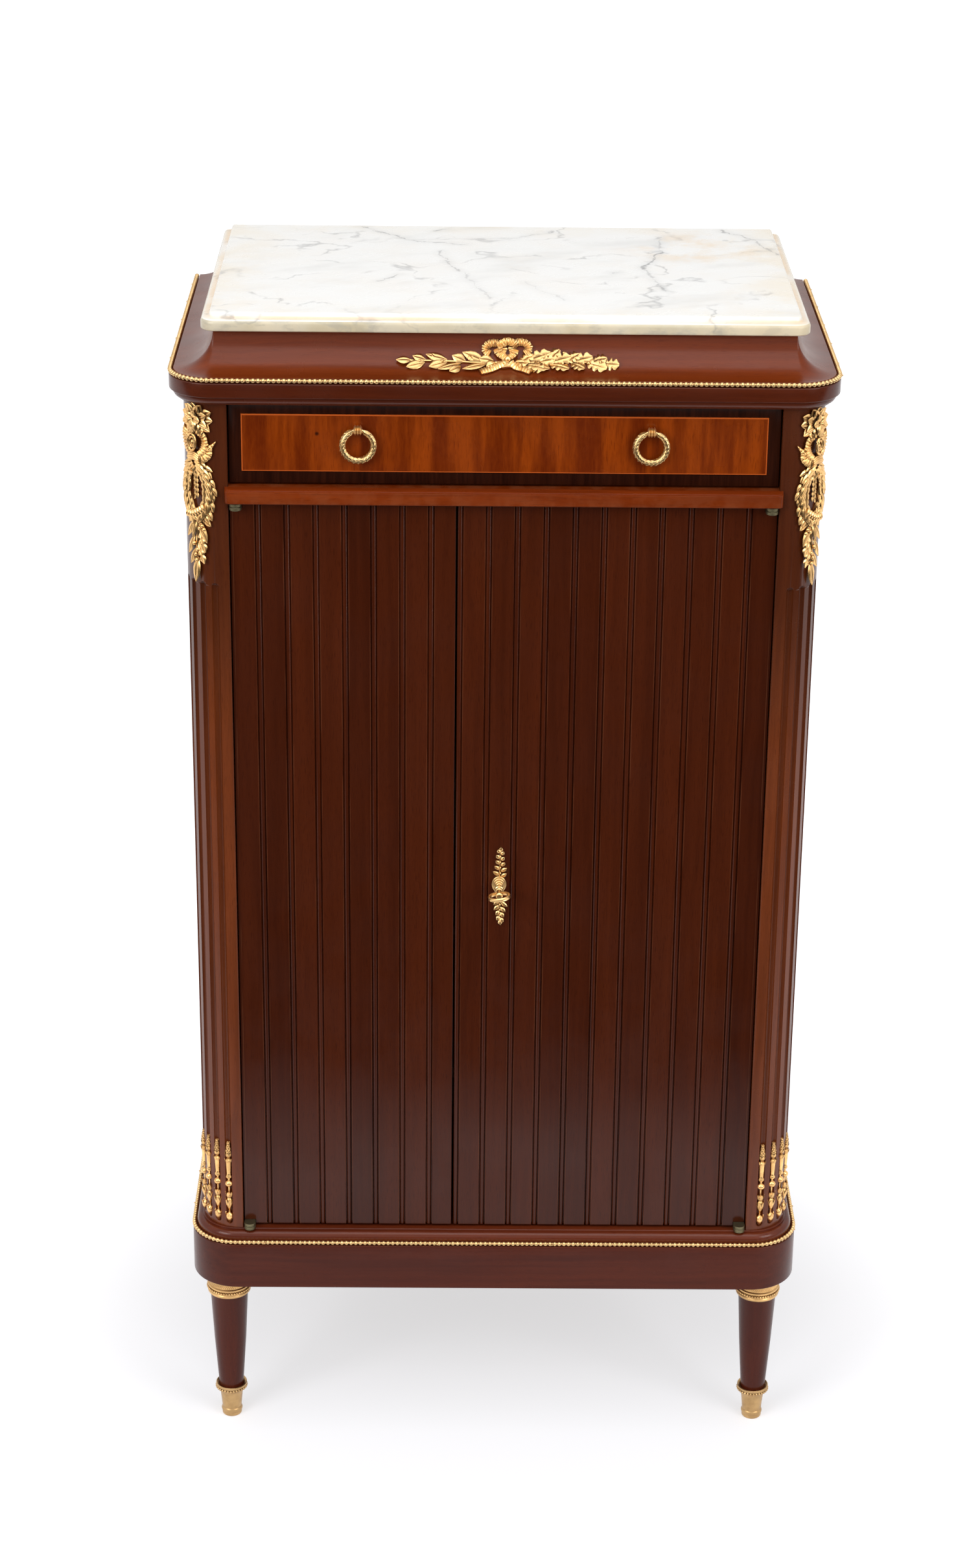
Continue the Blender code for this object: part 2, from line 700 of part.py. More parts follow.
def build_drawer():
    """Drawer box with a framed front and two ring pulls."""
    rear_of_front = door_face + drawer_front_thickness
    border = door_face + drawer_panel_proud
    sections = []
    for inset, low, high, y in (
            (0.0, 0.0, 0.0, rear_of_front), (0.0, 0.0, 0.0, border),
            (drawer_border_side, drawer_border_bottom, drawer_border_top, border),
            (drawer_border_side + seat * 3, drawer_border_bottom + seat * 3,
             drawer_border_top + seat * 3, door_face)):
        half = door_half - inset
        bottom = drawer_bottom_edge + low
        top = drawer_top_edge - high
        sections.append([Vector((-half, y, bottom)), Vector((half, y, bottom)),
                         Vector((half, y, top)), Vector((-half, y, top))])
    front = loft("drawer_front", sections, "figured_mahogany")

    side_bottom = rail_top + runner_gap
    side_top = drawer_top_edge - drawer_side_drop
    inside = door_half - drawer_side_thickness
    groove_low = side_bottom + drawer_bottom_rise
    groove_high = groove_low + drawer_bottom_thickness
    pieces = [front]
    bottom_half = inside + drawer_groove - seat
    groove = box(
        "drawer_groove", (-inside - drawer_groove, rear_of_front - drawer_groove, groove_low - seat),
        (inside + drawer_groove, drawer_back_end + drawer_groove, groove_high + seat))
    combine(front, groove, "DIFFERENCE")
    for side, sign in (("left", -1.0), ("right", 1.0)):
        low, high = sorted((sign * inside, sign * door_half))
        panel = box("drawer_" + side + "_side", (low, rear_of_front + seat, side_bottom),
                    (high, drawer_back_end, side_top), "plain_wood")
        combine(panel, groove, "DIFFERENCE")
        pieces.append(panel)
    pieces.append(box(
        "drawer_back", (-inside + seat, drawer_back_end - drawer_side_thickness, groove_high + seat),
        (inside - seat, drawer_back_end, side_top), "plain_wood"))
    pieces.append(box(
        "drawer_bottom", (-bottom_half, rear_of_front - drawer_groove + seat, groove_low),
        (bottom_half, drawer_back_end, groove_high), "plain_wood"))

    for side, sign in (("left", -1.0), ("right", 1.0)):
        x = sign * ring_spacing / 2
        boss = cylinder(side + "_ring_boss", (x, ring_y, ring_z), boss_radius, boss_half_width * 2, "X",
                        "gilt_bronze")
        plate_low = door_face - seat - boss_plate_thickness
        base = cylinder(side + "_boss_plate", (x, plate_low + boss_plate_thickness / 2, ring_z),
                        boss_radius, boss_plate_thickness, "Y")
        combine(boss, base, "UNION")
        dip = ring_radius - sqrt(ring_radius ** 2 - boss_half_width ** 2)
        eye = cylinder(side + "_boss_eye", (x, ring_y, ring_z), ring_wire + dip + ring_play,
                       boss_half_width * 4, "X")
        combine(boss, eye, "DIFFERENCE")
        pieces.append(boss)
        path = []
        for step in range(ring_steps):
            angle = 2 * pi * step / ring_steps
            path.append((x + ring_radius * sin(angle), ring_y, ring_z - ring_radius * (1 - cos(angle))))
        ring = tube(side + "_ring", path, ring_wire, "gilt_bronze", closed=True)
        joint_axis(side + "_ring_axis", (x, ring_y, ring_z), [ring])
    joint_axis("drawer_axis", (0.0, door_face, drawer_bottom_edge), pieces)


def door_outline(left, right, joints, left_bevel, right_bevel, edge_bead):
    """Plan of a door: flat slats with a small bead between two grooves at each joint."""
    groove = (joint_width + joint_bead) / 4
    bead_height = joint_depth * 0.7

    def bead(centre):
        points = []
        for step in range(5):
            angle = radians(180.0 - 45.0 * step)
            y = door_face + seat + bead_height * (1 - sin(angle))
            points.append((centre + joint_bead / 2 * cos(angle), y))
        return points

    points = [(left + left_bevel, door_back)]
    if edge_bead:
        centre = left + joint_bead / 2
        points.extend(bead(centre))
        points.extend([(centre + groove, door_face + joint_depth), (centre + joint_width / 2, door_face)])
    else:
        points.append((left, door_face))
    for centre in joints:
        points.extend([(centre - joint_width / 2, door_face), (centre - groove, door_face + joint_depth)])
        points.extend(bead(centre))
        points.extend([(centre + groove, door_face + joint_depth), (centre + joint_width / 2, door_face)])
    points.append((right, door_face))
    points.append((right - right_bevel, door_back))
    return points


def leaf_outline(sign):
    """Plan of a pivot leaf: a bar along the door's edge with a round tongue in front of its face."""
    inner = door_half - leaf_length
    front = door_face + seat
    rear = door_back - seat
    points = [(inner, rear), (inner, front), (pivot_x - knuckle_radius, front)]
    for step in range(9):
        angle = radians(180.0 + 22.5 * step)
        points.append((pivot_x + knuckle_radius * cos(angle), pivot_y + knuckle_radius * sin(angle)))
    points.append((door_half, rear))
    return [(sign * x, y) for x, y in points]


def build_doors():
    """Two unequal reeded doors on proud pivots, with the lock, its bolt, the key and its plate."""
    edge = opening_width / 2
    left_joints = [-edge + slat_pitch * (k + 1) for k in range(left_slats - 1)]
    right_joints = [-edge + slat_pitch * (left_slats + k + 1) for k in range(right_slats - 1)]
    left_plan = door_outline(-door_half, meeting_x - meeting_gap / 2, left_joints, 0.0, meeting_bevel, False)
    right_plan = door_outline(meeting_x + meeting_gap / 2, door_half, right_joints, meeting_bevel, 0.0, True)
    left_pieces = [plate("left_door", left_plan, door_bottom, door_top, "dark_mahogany")]
    right_pieces = [plate("right_door", right_plan, door_bottom, door_top, "dark_mahogany")]

    for side, sign, pieces in (("left", -1.0, left_pieces), ("right", 1.0, right_pieces)):
        outline = leaf_outline(sign)
        bore = circle(sign * pivot_x, pivot_y, pivot_pin_radius + seat)
        for end, face, step in (("upper", rail_bottom, -1.0), ("lower", base_top, 1.0)):
            fixed_near = face + step * seat
            fixed_far = fixed_near + step * leaf_thickness
            moving_near = fixed_far + step * leaf_gap
            moving_far = moving_near + step * leaf_thickness
            fixed = plate(end + "_" + side + "_pivot", outline, *sorted((fixed_near, fixed_far)), "brass")
            pin_length = leaf_thickness * 2 + leaf_gap - seat
            pin_middle = fixed_near + step * (pin_length / 2 + seat)
            pin = cylinder(end + "_" + side + "_pin", (sign * pivot_x, pivot_y, pin_middle),
                           pivot_pin_radius, pin_length, "Z")
            combine(fixed, pin, "UNION")
            pieces.append(plate(
                end + "_" + side + "_door_leaf", outline, *sorted((moving_near, moving_far)), "brass", [bore]))
            low, high = sorted((sign * (door_half - leaf_length - seat), sign * (door_half + seat * 4)))
            bottom, top = sorted((face, moving_far + step * seat))
            notch = box(end + "_" + side + "_notch", (low, door_face - seat, bottom),
                        (high, door_back + seat, top))
            combine(pieces[0], notch, "DIFFERENCE", solver="MANIFOLD")

    hole = plate("key_hole", keyhole_outline(), door_face - door_thickness, door_back + door_thickness, None,
                 upright=True)
    combine(right_pieces[0], hole, "DIFFERENCE", solver="MANIFOLD")
    right_pieces.extend(build_lock())
    joint_axis("left_door_axis", (-pivot_x, pivot_y, door_bottom), left_pieces)
    joint_axis("right_door_axis", (pivot_x, pivot_y, door_bottom), right_pieces)


def keyhole_outline():
    """Round hole for the shank with a slot below it for the bit."""
    hole_radius = key_shank_radius + shank_play
    slot_half = key_bit_thickness / 2 + shank_play
    slot_angle = asin(slot_half / hole_radius)
    slot_end = lock_z - key_bit_length - shank_play
    points = []
    for step in range(13):
        angle = -pi / 2 + slot_angle + (2 * pi - 2 * slot_angle) * step / 12
        points.append((lock_x + hole_radius * cos(angle), lock_z + hole_radius * sin(angle)))
    points.extend([(lock_x - slot_half, slot_end), (lock_x + slot_half, slot_end)])
    return points


def build_lock():
    """Lock case on the inside of the wide door, sliding bolt, key and leafy key plate."""
    case_back = door_back + seat + lock_case_depth
    low = (lock_case_left, door_back + seat, lock_z - lock_case_height / 2)
    high = (lock_x + lock_case_right, case_back, lock_z + lock_case_height / 2)
    case = box("lock_case", low, high, "steel")
    room = box(
        "lock_room", (low[0] + lock_case_wall, low[1] - lock_case_wall, low[2] + lock_case_wall),
        (high[0] - lock_case_wall, high[1] - lock_case_wall, high[2] - lock_case_wall))
    combine(case, room, "DIFFERENCE")
    bolt_low = door_back + seat + (lock_case_depth - lock_case_wall - bolt_thickness) / 2
    bolt_bottom = lock_z + bolt_rise
    bolt_top = bolt_bottom + bolt_height
    mouth = box(
        "bolt_mouth", (low[0] - lock_case_wall, bolt_low - seat, bolt_bottom - seat),
        (low[0] + lock_case_wall * 2, bolt_low + bolt_thickness + seat, bolt_top + seat))
    combine(case, mouth, "DIFFERENCE")
    bolt = box("lock_bolt", (low[0], bolt_low, bolt_bottom),
               (lock_x + bolt_tail, bolt_low + bolt_thickness, bolt_top), "steel")
    talon = box(
        "bolt_talon", (lock_x - bolt_notch_half, bolt_low - seat, bolt_bottom - seat),
        (lock_x + bolt_notch_half, bolt_low + bolt_thickness + seat, bolt_bottom + bolt_notch_depth))
    combine(bolt, talon, "DIFFERENCE")
    joint_axis("lock_bolt_axis", (lock_x, bolt_low, bolt_bottom), [bolt])

    plate_front = door_face - seat - escutcheon_thickness
    outline = []
    spread = [
        (0.0, 0.02), (0.08, 0.30), (0.16, 0.52), (0.24, 0.30), (0.31, 0.62), (0.40, 0.92), (0.50, 1.0),
        (0.60, 0.92), (0.69, 0.62), (0.76, 0.30), (0.84, 0.50), (0.92, 0.28), (1.0, 0.02)]
    top = lock_z + escutcheon_height / 2
    for share, width in spread:
        outline.append((lock_x + escutcheon_half_width * width, top - escutcheon_height * share))
    for share, width in reversed(spread):
        outline.append((lock_x - escutcheon_half_width * width, top - escutcheon_height * share))
    escutcheon = plate("escutcheon", outline, plate_front, plate_front + escutcheon_thickness, "gilt_bronze",
                       [keyhole_outline()], upright=True)

    tip = case_back - lock_case_wall - seat * 4
    bow_y = door_face - key_reach + key_bow_half_length + key_bow_wire
    neck = bow_y + key_bow_half_length
    length = tip - neck
    collar_end = plate_front - seat * 3 - neck
    key = turned("key", [
        (0.0, 0.0), (key_shank_radius, 0.0), (key_shank_radius, length - collar_end),
        (key_collar_radius, length - collar_end), (key_collar_radius, length - collar_end * 0.80),
        (key_shank_radius * 1.2, length - collar_end * 0.72),
        (key_shank_radius * 1.2, length - collar_end * 0.55),
        (key_collar_radius * 0.85, length - collar_end * 0.45),
        (key_collar_radius * 0.85, length - collar_end * 0.28),
        (key_shank_radius, length - collar_end * 0.18), (key_shank_radius, length), (0.0, length)][::-1],
        (lock_x, tip, lock_z), "gilt_bronze", steps=12, axis="front")
    bow_path = []
    for step in range(bow_steps):
        angle = 2 * pi * step / bow_steps
        x = lock_x + key_bow_half_width * cos(angle)
        bow_path.append((x, bow_y + key_bow_half_length * sin(angle), lock_z))
    bow = tube("key_bow", bow_path, key_bow_wire, None, closed=True)
    combine(key, bow, "UNION")
    bit = box("key_bit", (lock_x - key_bit_thickness / 2, bolt_low - seat * 2, lock_z - key_bit_length),
              (lock_x + key_bit_thickness / 2, bolt_low + bolt_thickness + seat * 2, lock_z))
    combine(key, bit, "UNION")
    joint_axis("key_axis", (lock_x, door_face, lock_z), [key])
    return [case, escutcheon]


def add_leaf(shape, place, direction, normal, length, width, height):
    """One pointed leaf or bud that lies on a surface."""
    along = direction.normalized()
    across = normal.cross(along).normalized()
    frame = Matrix((across * (width / 2), normal * (height / 2), along * (length / 2))).transposed().to_4x4()
    frame.translation = place
    bmesh.ops.create_uvsphere(shape, u_segments=4, v_segments=2, radius=1.0, matrix=frame)


def build_frieze_mount():
    """Ribbon bow with two open loops and a branch of leaves on each side, laid on the cove."""
    inset_span = marble_inset + cove_top_setback - cove_lip_inset
    rise_span = cove_height - cove_lip
    cove_girth = pi / 4 * (inset_span + rise_span)
    stem_reach = frieze_mount_half_length - frieze_leaf_length * 0.7
    loop_share = 0.70
    knot_share = 0.52

    def on_cove(x, share, lift=mount_lift):
        angle = radians(90.0) * share
        y = cornice_front + cove_lip_inset + inset_span * sin(angle)
        z = cornice_top + cove_lip + rise_span * (1 - cos(angle))
        normal = Vector((0.0, -rise_span * sin(angle), inset_span * cos(angle))).normalized()
        return Vector((x, y, z)) + normal * lift, normal

    def stem_share(part):
        return 0.49 - 0.03 * cos(part * pi * 1.4)

    leaves = bmesh.new()

    def leaf_from(x, share, turn, length, width, height=mount_relief):
        """A leaf that starts on the cove at a point and turns up from the long direction."""
        reach = length * 0.45
        place, normal = on_cove(x + reach * cos(turn), share + reach * sin(turn) / cove_girth)
        uphill = Vector((0.0, normal.z, -normal.y))
        heading = Vector((cos(turn), 0.0, 0.0)) + uphill * sin(turn)
        add_leaf(leaves, place, heading, normal, length, width, height)

    stem_points = []
    for index in range(-frieze_leaves, frieze_leaves + 1):
        part = index / frieze_leaves
        stem_points.append(on_cove(part * stem_reach, stem_share(part))[0])
        if index == 0:
            continue
        spread = radians(34.0 if index % 2 else -34.0)
        turn = spread if part > 0 else pi - spread
        if abs(index) == frieze_leaves:
            turn = 0.0 if part > 0 else pi
        taper = 1.0 - 0.25 * abs(part)
        leaf_from(part * stem_reach, stem_share(part), turn, frieze_leaf_length * taper,
                  frieze_leaf_width * taper)
    for sign in (-1.0, 1.0):
        leaf_from(0.0, knot_share, radians(-90.0 + sign * 48.0), bow_tail_length, bow_tail_width)
        leaf_from(0.0, knot_share, radians(90.0 - sign * 36.0), bow_tail_length, bow_tail_width)
    leaf_from(-bow_knot * 0.45, knot_share, 0.0, bow_knot, bow_knot, heart_relief)
    mount = tube("frieze_mount", stem_points, mount_stem, "gilt_bronze", resolution=0)
    for side, sign in (("left", -1.0), ("right", 1.0)):
        middle = sign * (bow_loop_half_width + bow_wire * 1.3)
        loop_path = []
        for step in range(bow_steps):
            angle = 2 * pi * step / bow_steps
            share = loop_share + bow_loop_half_height * sin(angle) / cove_girth
            x = middle + bow_loop_half_width * cos(angle)
            loop_path.append(on_cove(x, share, bow_wire + seat * 2)[0])
        loop = tube(side + "_bow_loop", loop_path, bow_wire, None, closed=True, resolution=0)
        combine(mount, loop, "UNION")
    combine(mount, add_mesh("frieze_leaves", leaves), "UNION", overlapping=True)


def build_corner_mount(side, sign):
    """Flower, folds, tied knot with a forked tail, oval wreath and hanging leaves on a post's top."""
    centre = Vector((sign * (opening_width / 2 + post_edge), post_front + post_radius, 0.0))
    head = cornice_bottom - seat * 4
    down = Vector((0.0, 0.0, -1.0))
    leaves = bmesh.new()

    def on_post(across, drop, lift=mount_lift):
        angle = mount_turn + across / post_radius
        normal = Vector((sign * sin(angle), -cos(angle), 0.0))
        place = centre + normal * (post_radius + lift)
        place.z = head - drop
        sideways = Vector((sign * cos(angle), sin(angle), 0.0))
        return place, normal, sideways

    def leaf_from(across, drop, turn, length, width, height=mount_relief, lift=mount_lift):
        """A leaf that starts at a point on the post and turns sideways from straight down."""
        reach = length * 0.45
        place, normal, sideways = on_post(across + reach * sin(turn), drop + reach * cos(turn), lift)
        heading = down * cos(turn) + sideways * sin(turn)
        add_leaf(leaves, place, heading, normal, length, width, height)

    flower_drop = flower_radius
    knot_drop = flower_drop + flower_radius + fold_length * 0.9
    wreath_drop = knot_drop + knot_size / 2 + wreath_half_height
    chain_top = wreath_drop + wreath_half_height
    pendant_span = corner_mount_height - chain_top - pendant_leaf_length

    leaf_from(0.0, flower_drop - flower_heart * 0.45, 0.0, flower_heart, flower_heart, heart_relief)
    petal_start = flower_radius * 0.25
    for index in range(petal_count):
        turn = 2 * pi * (index + 0.5) / petal_count
        leaf_from(petal_start * sin(turn), flower_drop + petal_start * cos(turn), turn,
                  flower_radius - petal_start, petal_width)
    for way in (-1.0, 1.0):
        leaf_from(way * fold_width * 0.35, knot_drop - fold_length, way * radians(8.0), fold_length,
                  fold_width)
    leaf_from(0.0, knot_drop - knot_size * 0.45, 0.0, knot_size, knot_size, heart_relief)
    tail_turn = radians(-142.0)
    leaf_from(0.0, knot_drop, tail_turn, tail_length, tail_width)
    fork_across = tail_length * 0.75 * sin(tail_turn)
    fork_drop = knot_drop + tail_length * 0.75 * cos(tail_turn)
    for bend in (-34.0, 34.0):
        leaf_from(fork_across, fork_drop, tail_turn + radians(bend), tail_fork_length, tail_fork_width)

    def wreath_point(turn):
        return wreath_half_width * sin(turn), wreath_drop - wreath_half_height * cos(turn)

    for index in range(wreath_leaves):
        turn = 2 * pi * (index + 0.5) / wreath_leaves
        way = 1.0 if turn < pi else -1.0
        across, drop = wreath_point(turn)
        along = atan2(way * wreath_half_width * cos(turn), way * wreath_half_height * sin(turn))
        splay = way * radians(26.0 if index % 2 else -14.0)
        leaf_from(across, drop, along + splay, wreath_leaf_length, wreath_leaf_width,
                  lift=wreath_wire * 1.6)
    leaf_from(-wreath_half_width * 0.5, chain_top - knot_size * 0.4, radians(72.0), wreath_half_width * 1.4,
              wreath_leaf_width)
    for index in range(pendant_rows):
        drop = chain_top + pendant_span * index / pendant_rows
        for way in (-1.0, 1.0):
            turn = way * radians(38.0 - 7.0 * index)
            leaf_from(0.0, drop + way * mount_stem, turn, pendant_leaf_length, pendant_leaf_width)
    leaf_from(0.0, corner_mount_height - pendant_leaf_length * 0.95, radians(-8.0), pendant_leaf_length,
              pendant_leaf_width * 1.2)

    path = []
    for step in range(bow_steps):
        path.append(on_post(*wreath_point(2 * pi * (step + 0.5) / bow_steps), wreath_wire + seat * 2)[0])
    mount = tube(side + "_corner_mount", path, wreath_wire, "gilt_bronze", closed=True)
    spine_end = corner_mount_height - pendant_leaf_length / 2
    for end, first, last in (("upper", flower_drop, wreath_drop - wreath_half_height),
                             ("lower", chain_top, spine_end)):
        spine = tube(side + "_" + end + "_spine", [on_post(0.0, first)[0], on_post(0.0, last)[0]], mount_stem,
                     None, resolution=0)
        combine(mount, spine, "UNION")
    combine(mount, add_mesh(side + "_mount_leaves", leaves), "UNION", overlapping=True)


build_top()
build_base()
build_posts()
build_carcass()
build_drawer()
build_doors()
build_frieze_mount()
for mount_side, mount_sign in (("left", -1.0), ("right", 1.0)):
    build_corner_mount(mount_side, mount_sign)
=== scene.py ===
import json
from math import acos, cos, degrees, pi, radians, sin, sqrt

import bmesh
import bpy
from mathutils import Matrix, Vector

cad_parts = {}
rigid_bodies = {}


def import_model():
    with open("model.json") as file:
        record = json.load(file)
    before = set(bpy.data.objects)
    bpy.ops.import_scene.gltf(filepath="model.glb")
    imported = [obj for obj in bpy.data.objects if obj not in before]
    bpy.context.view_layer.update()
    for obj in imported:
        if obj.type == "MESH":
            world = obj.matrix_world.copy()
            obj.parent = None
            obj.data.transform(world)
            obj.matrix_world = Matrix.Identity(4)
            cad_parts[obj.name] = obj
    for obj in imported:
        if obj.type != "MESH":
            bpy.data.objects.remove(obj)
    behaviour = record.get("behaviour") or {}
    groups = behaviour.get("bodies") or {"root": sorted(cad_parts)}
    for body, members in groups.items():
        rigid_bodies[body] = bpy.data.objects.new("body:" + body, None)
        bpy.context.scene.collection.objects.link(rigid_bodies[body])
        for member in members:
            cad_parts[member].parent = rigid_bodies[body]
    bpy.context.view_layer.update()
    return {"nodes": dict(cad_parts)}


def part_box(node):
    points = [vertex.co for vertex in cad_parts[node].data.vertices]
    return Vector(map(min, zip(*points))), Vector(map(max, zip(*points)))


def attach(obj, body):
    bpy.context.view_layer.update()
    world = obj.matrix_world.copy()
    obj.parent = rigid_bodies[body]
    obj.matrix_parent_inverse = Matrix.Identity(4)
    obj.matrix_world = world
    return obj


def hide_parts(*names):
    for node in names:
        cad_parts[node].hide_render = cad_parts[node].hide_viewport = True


for stray in list(bpy.data.objects):
    bpy.data.objects.remove(stray, do_unlink=True)

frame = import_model()
cadNodes = frame["nodes"]
scene = bpy.context.scene
scene.view_settings.view_transform = "Standard"
mm = 0.001
print("frame loaded with", len(cadNodes), "nodes")


# node helpers

class Term:
    # a node's output that can stand in a sum
    def __init__(self, socket):
        self.socket = socket
        self.tree = socket.id_data

    def calc(self, operation, *others):
        return term(self.tree, "ShaderNodeMath", dict(enumerate((self, *others))), operation=operation)

    def __add__(self, other):
        return self.calc("ADD", other)

    def __sub__(self, other):
        return self.calc("SUBTRACT", other)

    def __mul__(self, other):
        return self.calc("MULTIPLY", other)

    def __truediv__(self, other):
        return self.calc("DIVIDE", other)

    def __abs__(self):
        return self.calc("ABSOLUTE")


def addNode(tree, kind, values=None, **settings):
    made = tree.nodes.new(kind)
    for key, value in settings.items():
        setattr(made, key, value)
    for socket, value in (values or {}).items():
        feed(made.inputs[socket], value)
    return made


def feed(socket, value):
    if isinstance(value, Term):
        value.tree.links.new(value.socket, socket)
    else:
        socket.default_value = value


def term(tree, kind, values=None, output=0, **settings):
    return Term(addNode(tree, kind, values, **settings).outputs[output])


def terms(sockets):
    return {socket.name: Term(socket) for socket in sockets if socket.name}


def mixColour(factor, first, second):
    tones = [tone if isinstance(tone, Term) else (*tone, 1.0) for tone in (first, second)]
    return term(factor.tree, "ShaderNodeMix", {0: factor, 6: tones[0], 7: tones[1]}, 2, data_type="RGBA")


def mapped(vector, scale=(1.0, 1.0, 1.0), turned=(0.0, 0.0, 0.0), shift=(0.0, 0.0, 0.0)):
    values = {"Vector": vector, "Scale": scale, "Rotation": turned, "Location": shift}
    return term(vector.tree, "ShaderNodeMapping", values)


def noise(vector, scale, detail=2.0, rough=0.5, output="Fac"):
    values = {"Vector": vector, "Scale": scale, "Detail": detail, "Roughness": rough}
    return term(vector.tree, "ShaderNodeTexNoise", values, output)


def ranged(value, start, end, first=0.0, last=1.0, kind="SMOOTHSTEP"):
    values = dict(enumerate((value, start, end, first, last)))
    return term(value.tree, "ShaderNodeMapRange", values, interpolation_type=kind)


def split(vector):
    return [Term(socket) for socket in addNode(vector.tree, "ShaderNodeSeparateXYZ", {0: vector}).outputs]


def join(x, y, z):
    return term(z.tree, "ShaderNodeCombineXYZ", {0: x, 1: y, 2: z})


def vectorCalc(operation, first, second=None):
    made = addNode(first.tree, "ShaderNodeVectorMath", {0: first}, operation=operation)
    if second is not None:
        feed(made.inputs["Scale" if operation == "SCALE" else 1], second)
    return Term(made.outputs["Value" if operation in ("DOT_PRODUCT", "LENGTH") else "Vector"])


def newTree(name, inputs, *outputs, kind="Shader", gives="Float"):
    tree = bpy.data.node_groups.new(name, kind + "NodeTree")
    for label, start in inputs.items():
        sort = start if isinstance(start, str) else type(start).__name__.capitalize()
        socket = tree.interface.new_socket(label, in_out="INPUT", socket_type="NodeSocket" + sort)
        if sort != start:
            socket.default_value = start
    for label in outputs:
        tree.interface.new_socket(label, in_out="OUTPUT", socket_type="NodeSocket" + gives)
    return tree, terms(addNode(tree, "NodeGroupInput").outputs), addNode(tree, "NodeGroupOutput").inputs


def useGroup(group, **values):
    return terms(addNode(values["Vector"].tree, "ShaderNodeGroup", values, node_tree=group).outputs)


# shared surface effects

def makeGrainGroup():
    inputs = {"Vector": "Vector", "Streaks": 150.0, "Stretch": 0.02, "Pores": 1500.0}
    tree, given, result = newTree("woodGrain", inputs, "Streak", "Pore", "Cloud")
    vector = given["Vector"]
    swayed = vectorCalc("ADD", vector, (noise(vector, 7.0) - 0.5) * 0.012)
    x, y, z = split(swayed)
    streak = noise(join(x, y, z * given["Stretch"]), given["Streaks"], 6.0, 0.62)
    pore = noise(mapped(vector, (1.0, 1.0, 0.06)), given["Pores"], 1.0)
    cloud = noise(mapped(swayed, (1.0, 1.0, 0.05)), 34.0, 3.0)
    feed(result["Streak"], ranged(streak, 0.25, 0.75))
    feed(result["Pore"], ranged(pore, 0.58, 0.70))
    feed(result["Cloud"], ranged(cloud, 0.25, 0.75))
    return tree


def makeWearGroup():
    inputs = {"Vector": "Vector", "Pointiness": 0.5, "Start": 0.53, "Full": 0.62}
    tree, given, result = newTree("edgeWear", inputs, "Edge", "Smudge")
    edge = ranged(given["Pointiness"], given["Start"], given["Full"], kind="LINEAR")
    feed(result["Edge"], edge * ranged(noise(given["Vector"], 60.0, 4.0), 0.35, 0.65))
    feed(result["Smudge"], noise(given["Vector"], 14.0, 5.0, 0.6))
    return tree


def makeVeinGroup():
    inputs = {"Vector": "Vector", "Scale": 6.0, "Width": 0.02, "Warp": 0.06}
    tree, given, result = newTree("marbleVein", inputs, "Vein")
    vector = given["Vector"]
    offset = vectorCalc("SUBTRACT", noise(vector, 9.0, 5.0, 0.6, "Color"), (0.5, 0.5, 0.5))
    place = vectorCalc("ADD", vector, vectorCalc("SCALE", offset, given["Warp"]))
    line = ranged(abs(noise(place, given["Scale"], 3.0) - 0.5), 0.0, given["Width"], 1.0, 0.0, "LINEAR")
    feed(result["Vein"], line * ranged(noise(vector, 21.0, 4.0), 0.42, 0.66))
    return tree


# one vein drawn from a start to an end, ragged and uneven in width
def makeLineGroup():
    inputs = {"Vector": "Vector", "Start": "Vector", "End": "Vector", "Strength": 1.0}
    tree, given, result = newTree("veinLine", inputs, "Line")
    vector = given["Vector"]
    bend = vectorCalc("SUBTRACT", noise(vector, 30.0, 7.0, 0.66, "Color"), (0.5, 0.5, 0.5))
    flat = vectorCalc("MULTIPLY", vector, (1.0, 1.0, 0.0))
    bent = vectorCalc("ADD", flat, vectorCalc("MULTIPLY", bend, (0.030, 0.030, 0.0)))
    away = vectorCalc("SUBTRACT", bent, given["Start"])
    span = vectorCalc("SUBTRACT", given["End"], given["Start"])
    share = vectorCalc("DOT_PRODUCT", away, span) / vectorCalc("DOT_PRODUCT", span, span)
    share = share.calc("MAXIMUM", 0.0).calc("MINIMUM", 1.0)
    gap = vectorCalc("LENGTH", vectorCalc("SUBTRACT", away, vectorCalc("SCALE", span, share)))
    width = ranged(noise(vector, 45.0, 4.0), 0.40, 0.70, 0.0005, 0.0042)
    core = ranged(gap, 0.0, width, 1.0, 0.0, "LINEAR")
    halo = ranged(gap, 0.0, 0.012, 0.16, 0.0)
    feed(result["Line"], core.calc("MAXIMUM", halo) * given["Strength"] * 0.85)
    return tree


grainGroup = makeGrainGroup()
lineGroup = makeLineGroup()
wearGroup = makeWearGroup()
veinGroup = makeVeinGroup()


# finishes

def startMaterial(name):
    material = bpy.data.materials.new(name)
    material.use_nodes = True
    tree = material.node_tree
    return material, tree.nodes["Principled BSDF"].inputs, term(tree, "ShaderNodeTexCoord", output="Object")


def openness(place, reach):
    values = {"Distance": reach}
    return term(place.tree, "ShaderNodeAmbientOcclusion", values, "AO", samples=6, only_local=True)


def bump(height, strength, invert=False):
    values = {"Strength": strength, "Distance": 0.0002, "Height": height}
    return term(height.tree, "ShaderNodeBump", values, invert=invert)


def distance(x, y, atX, atY):
    awayX, awayY = x - atX, y - atY
    return (awayX * awayX + awayY * awayY).calc("SQRT")


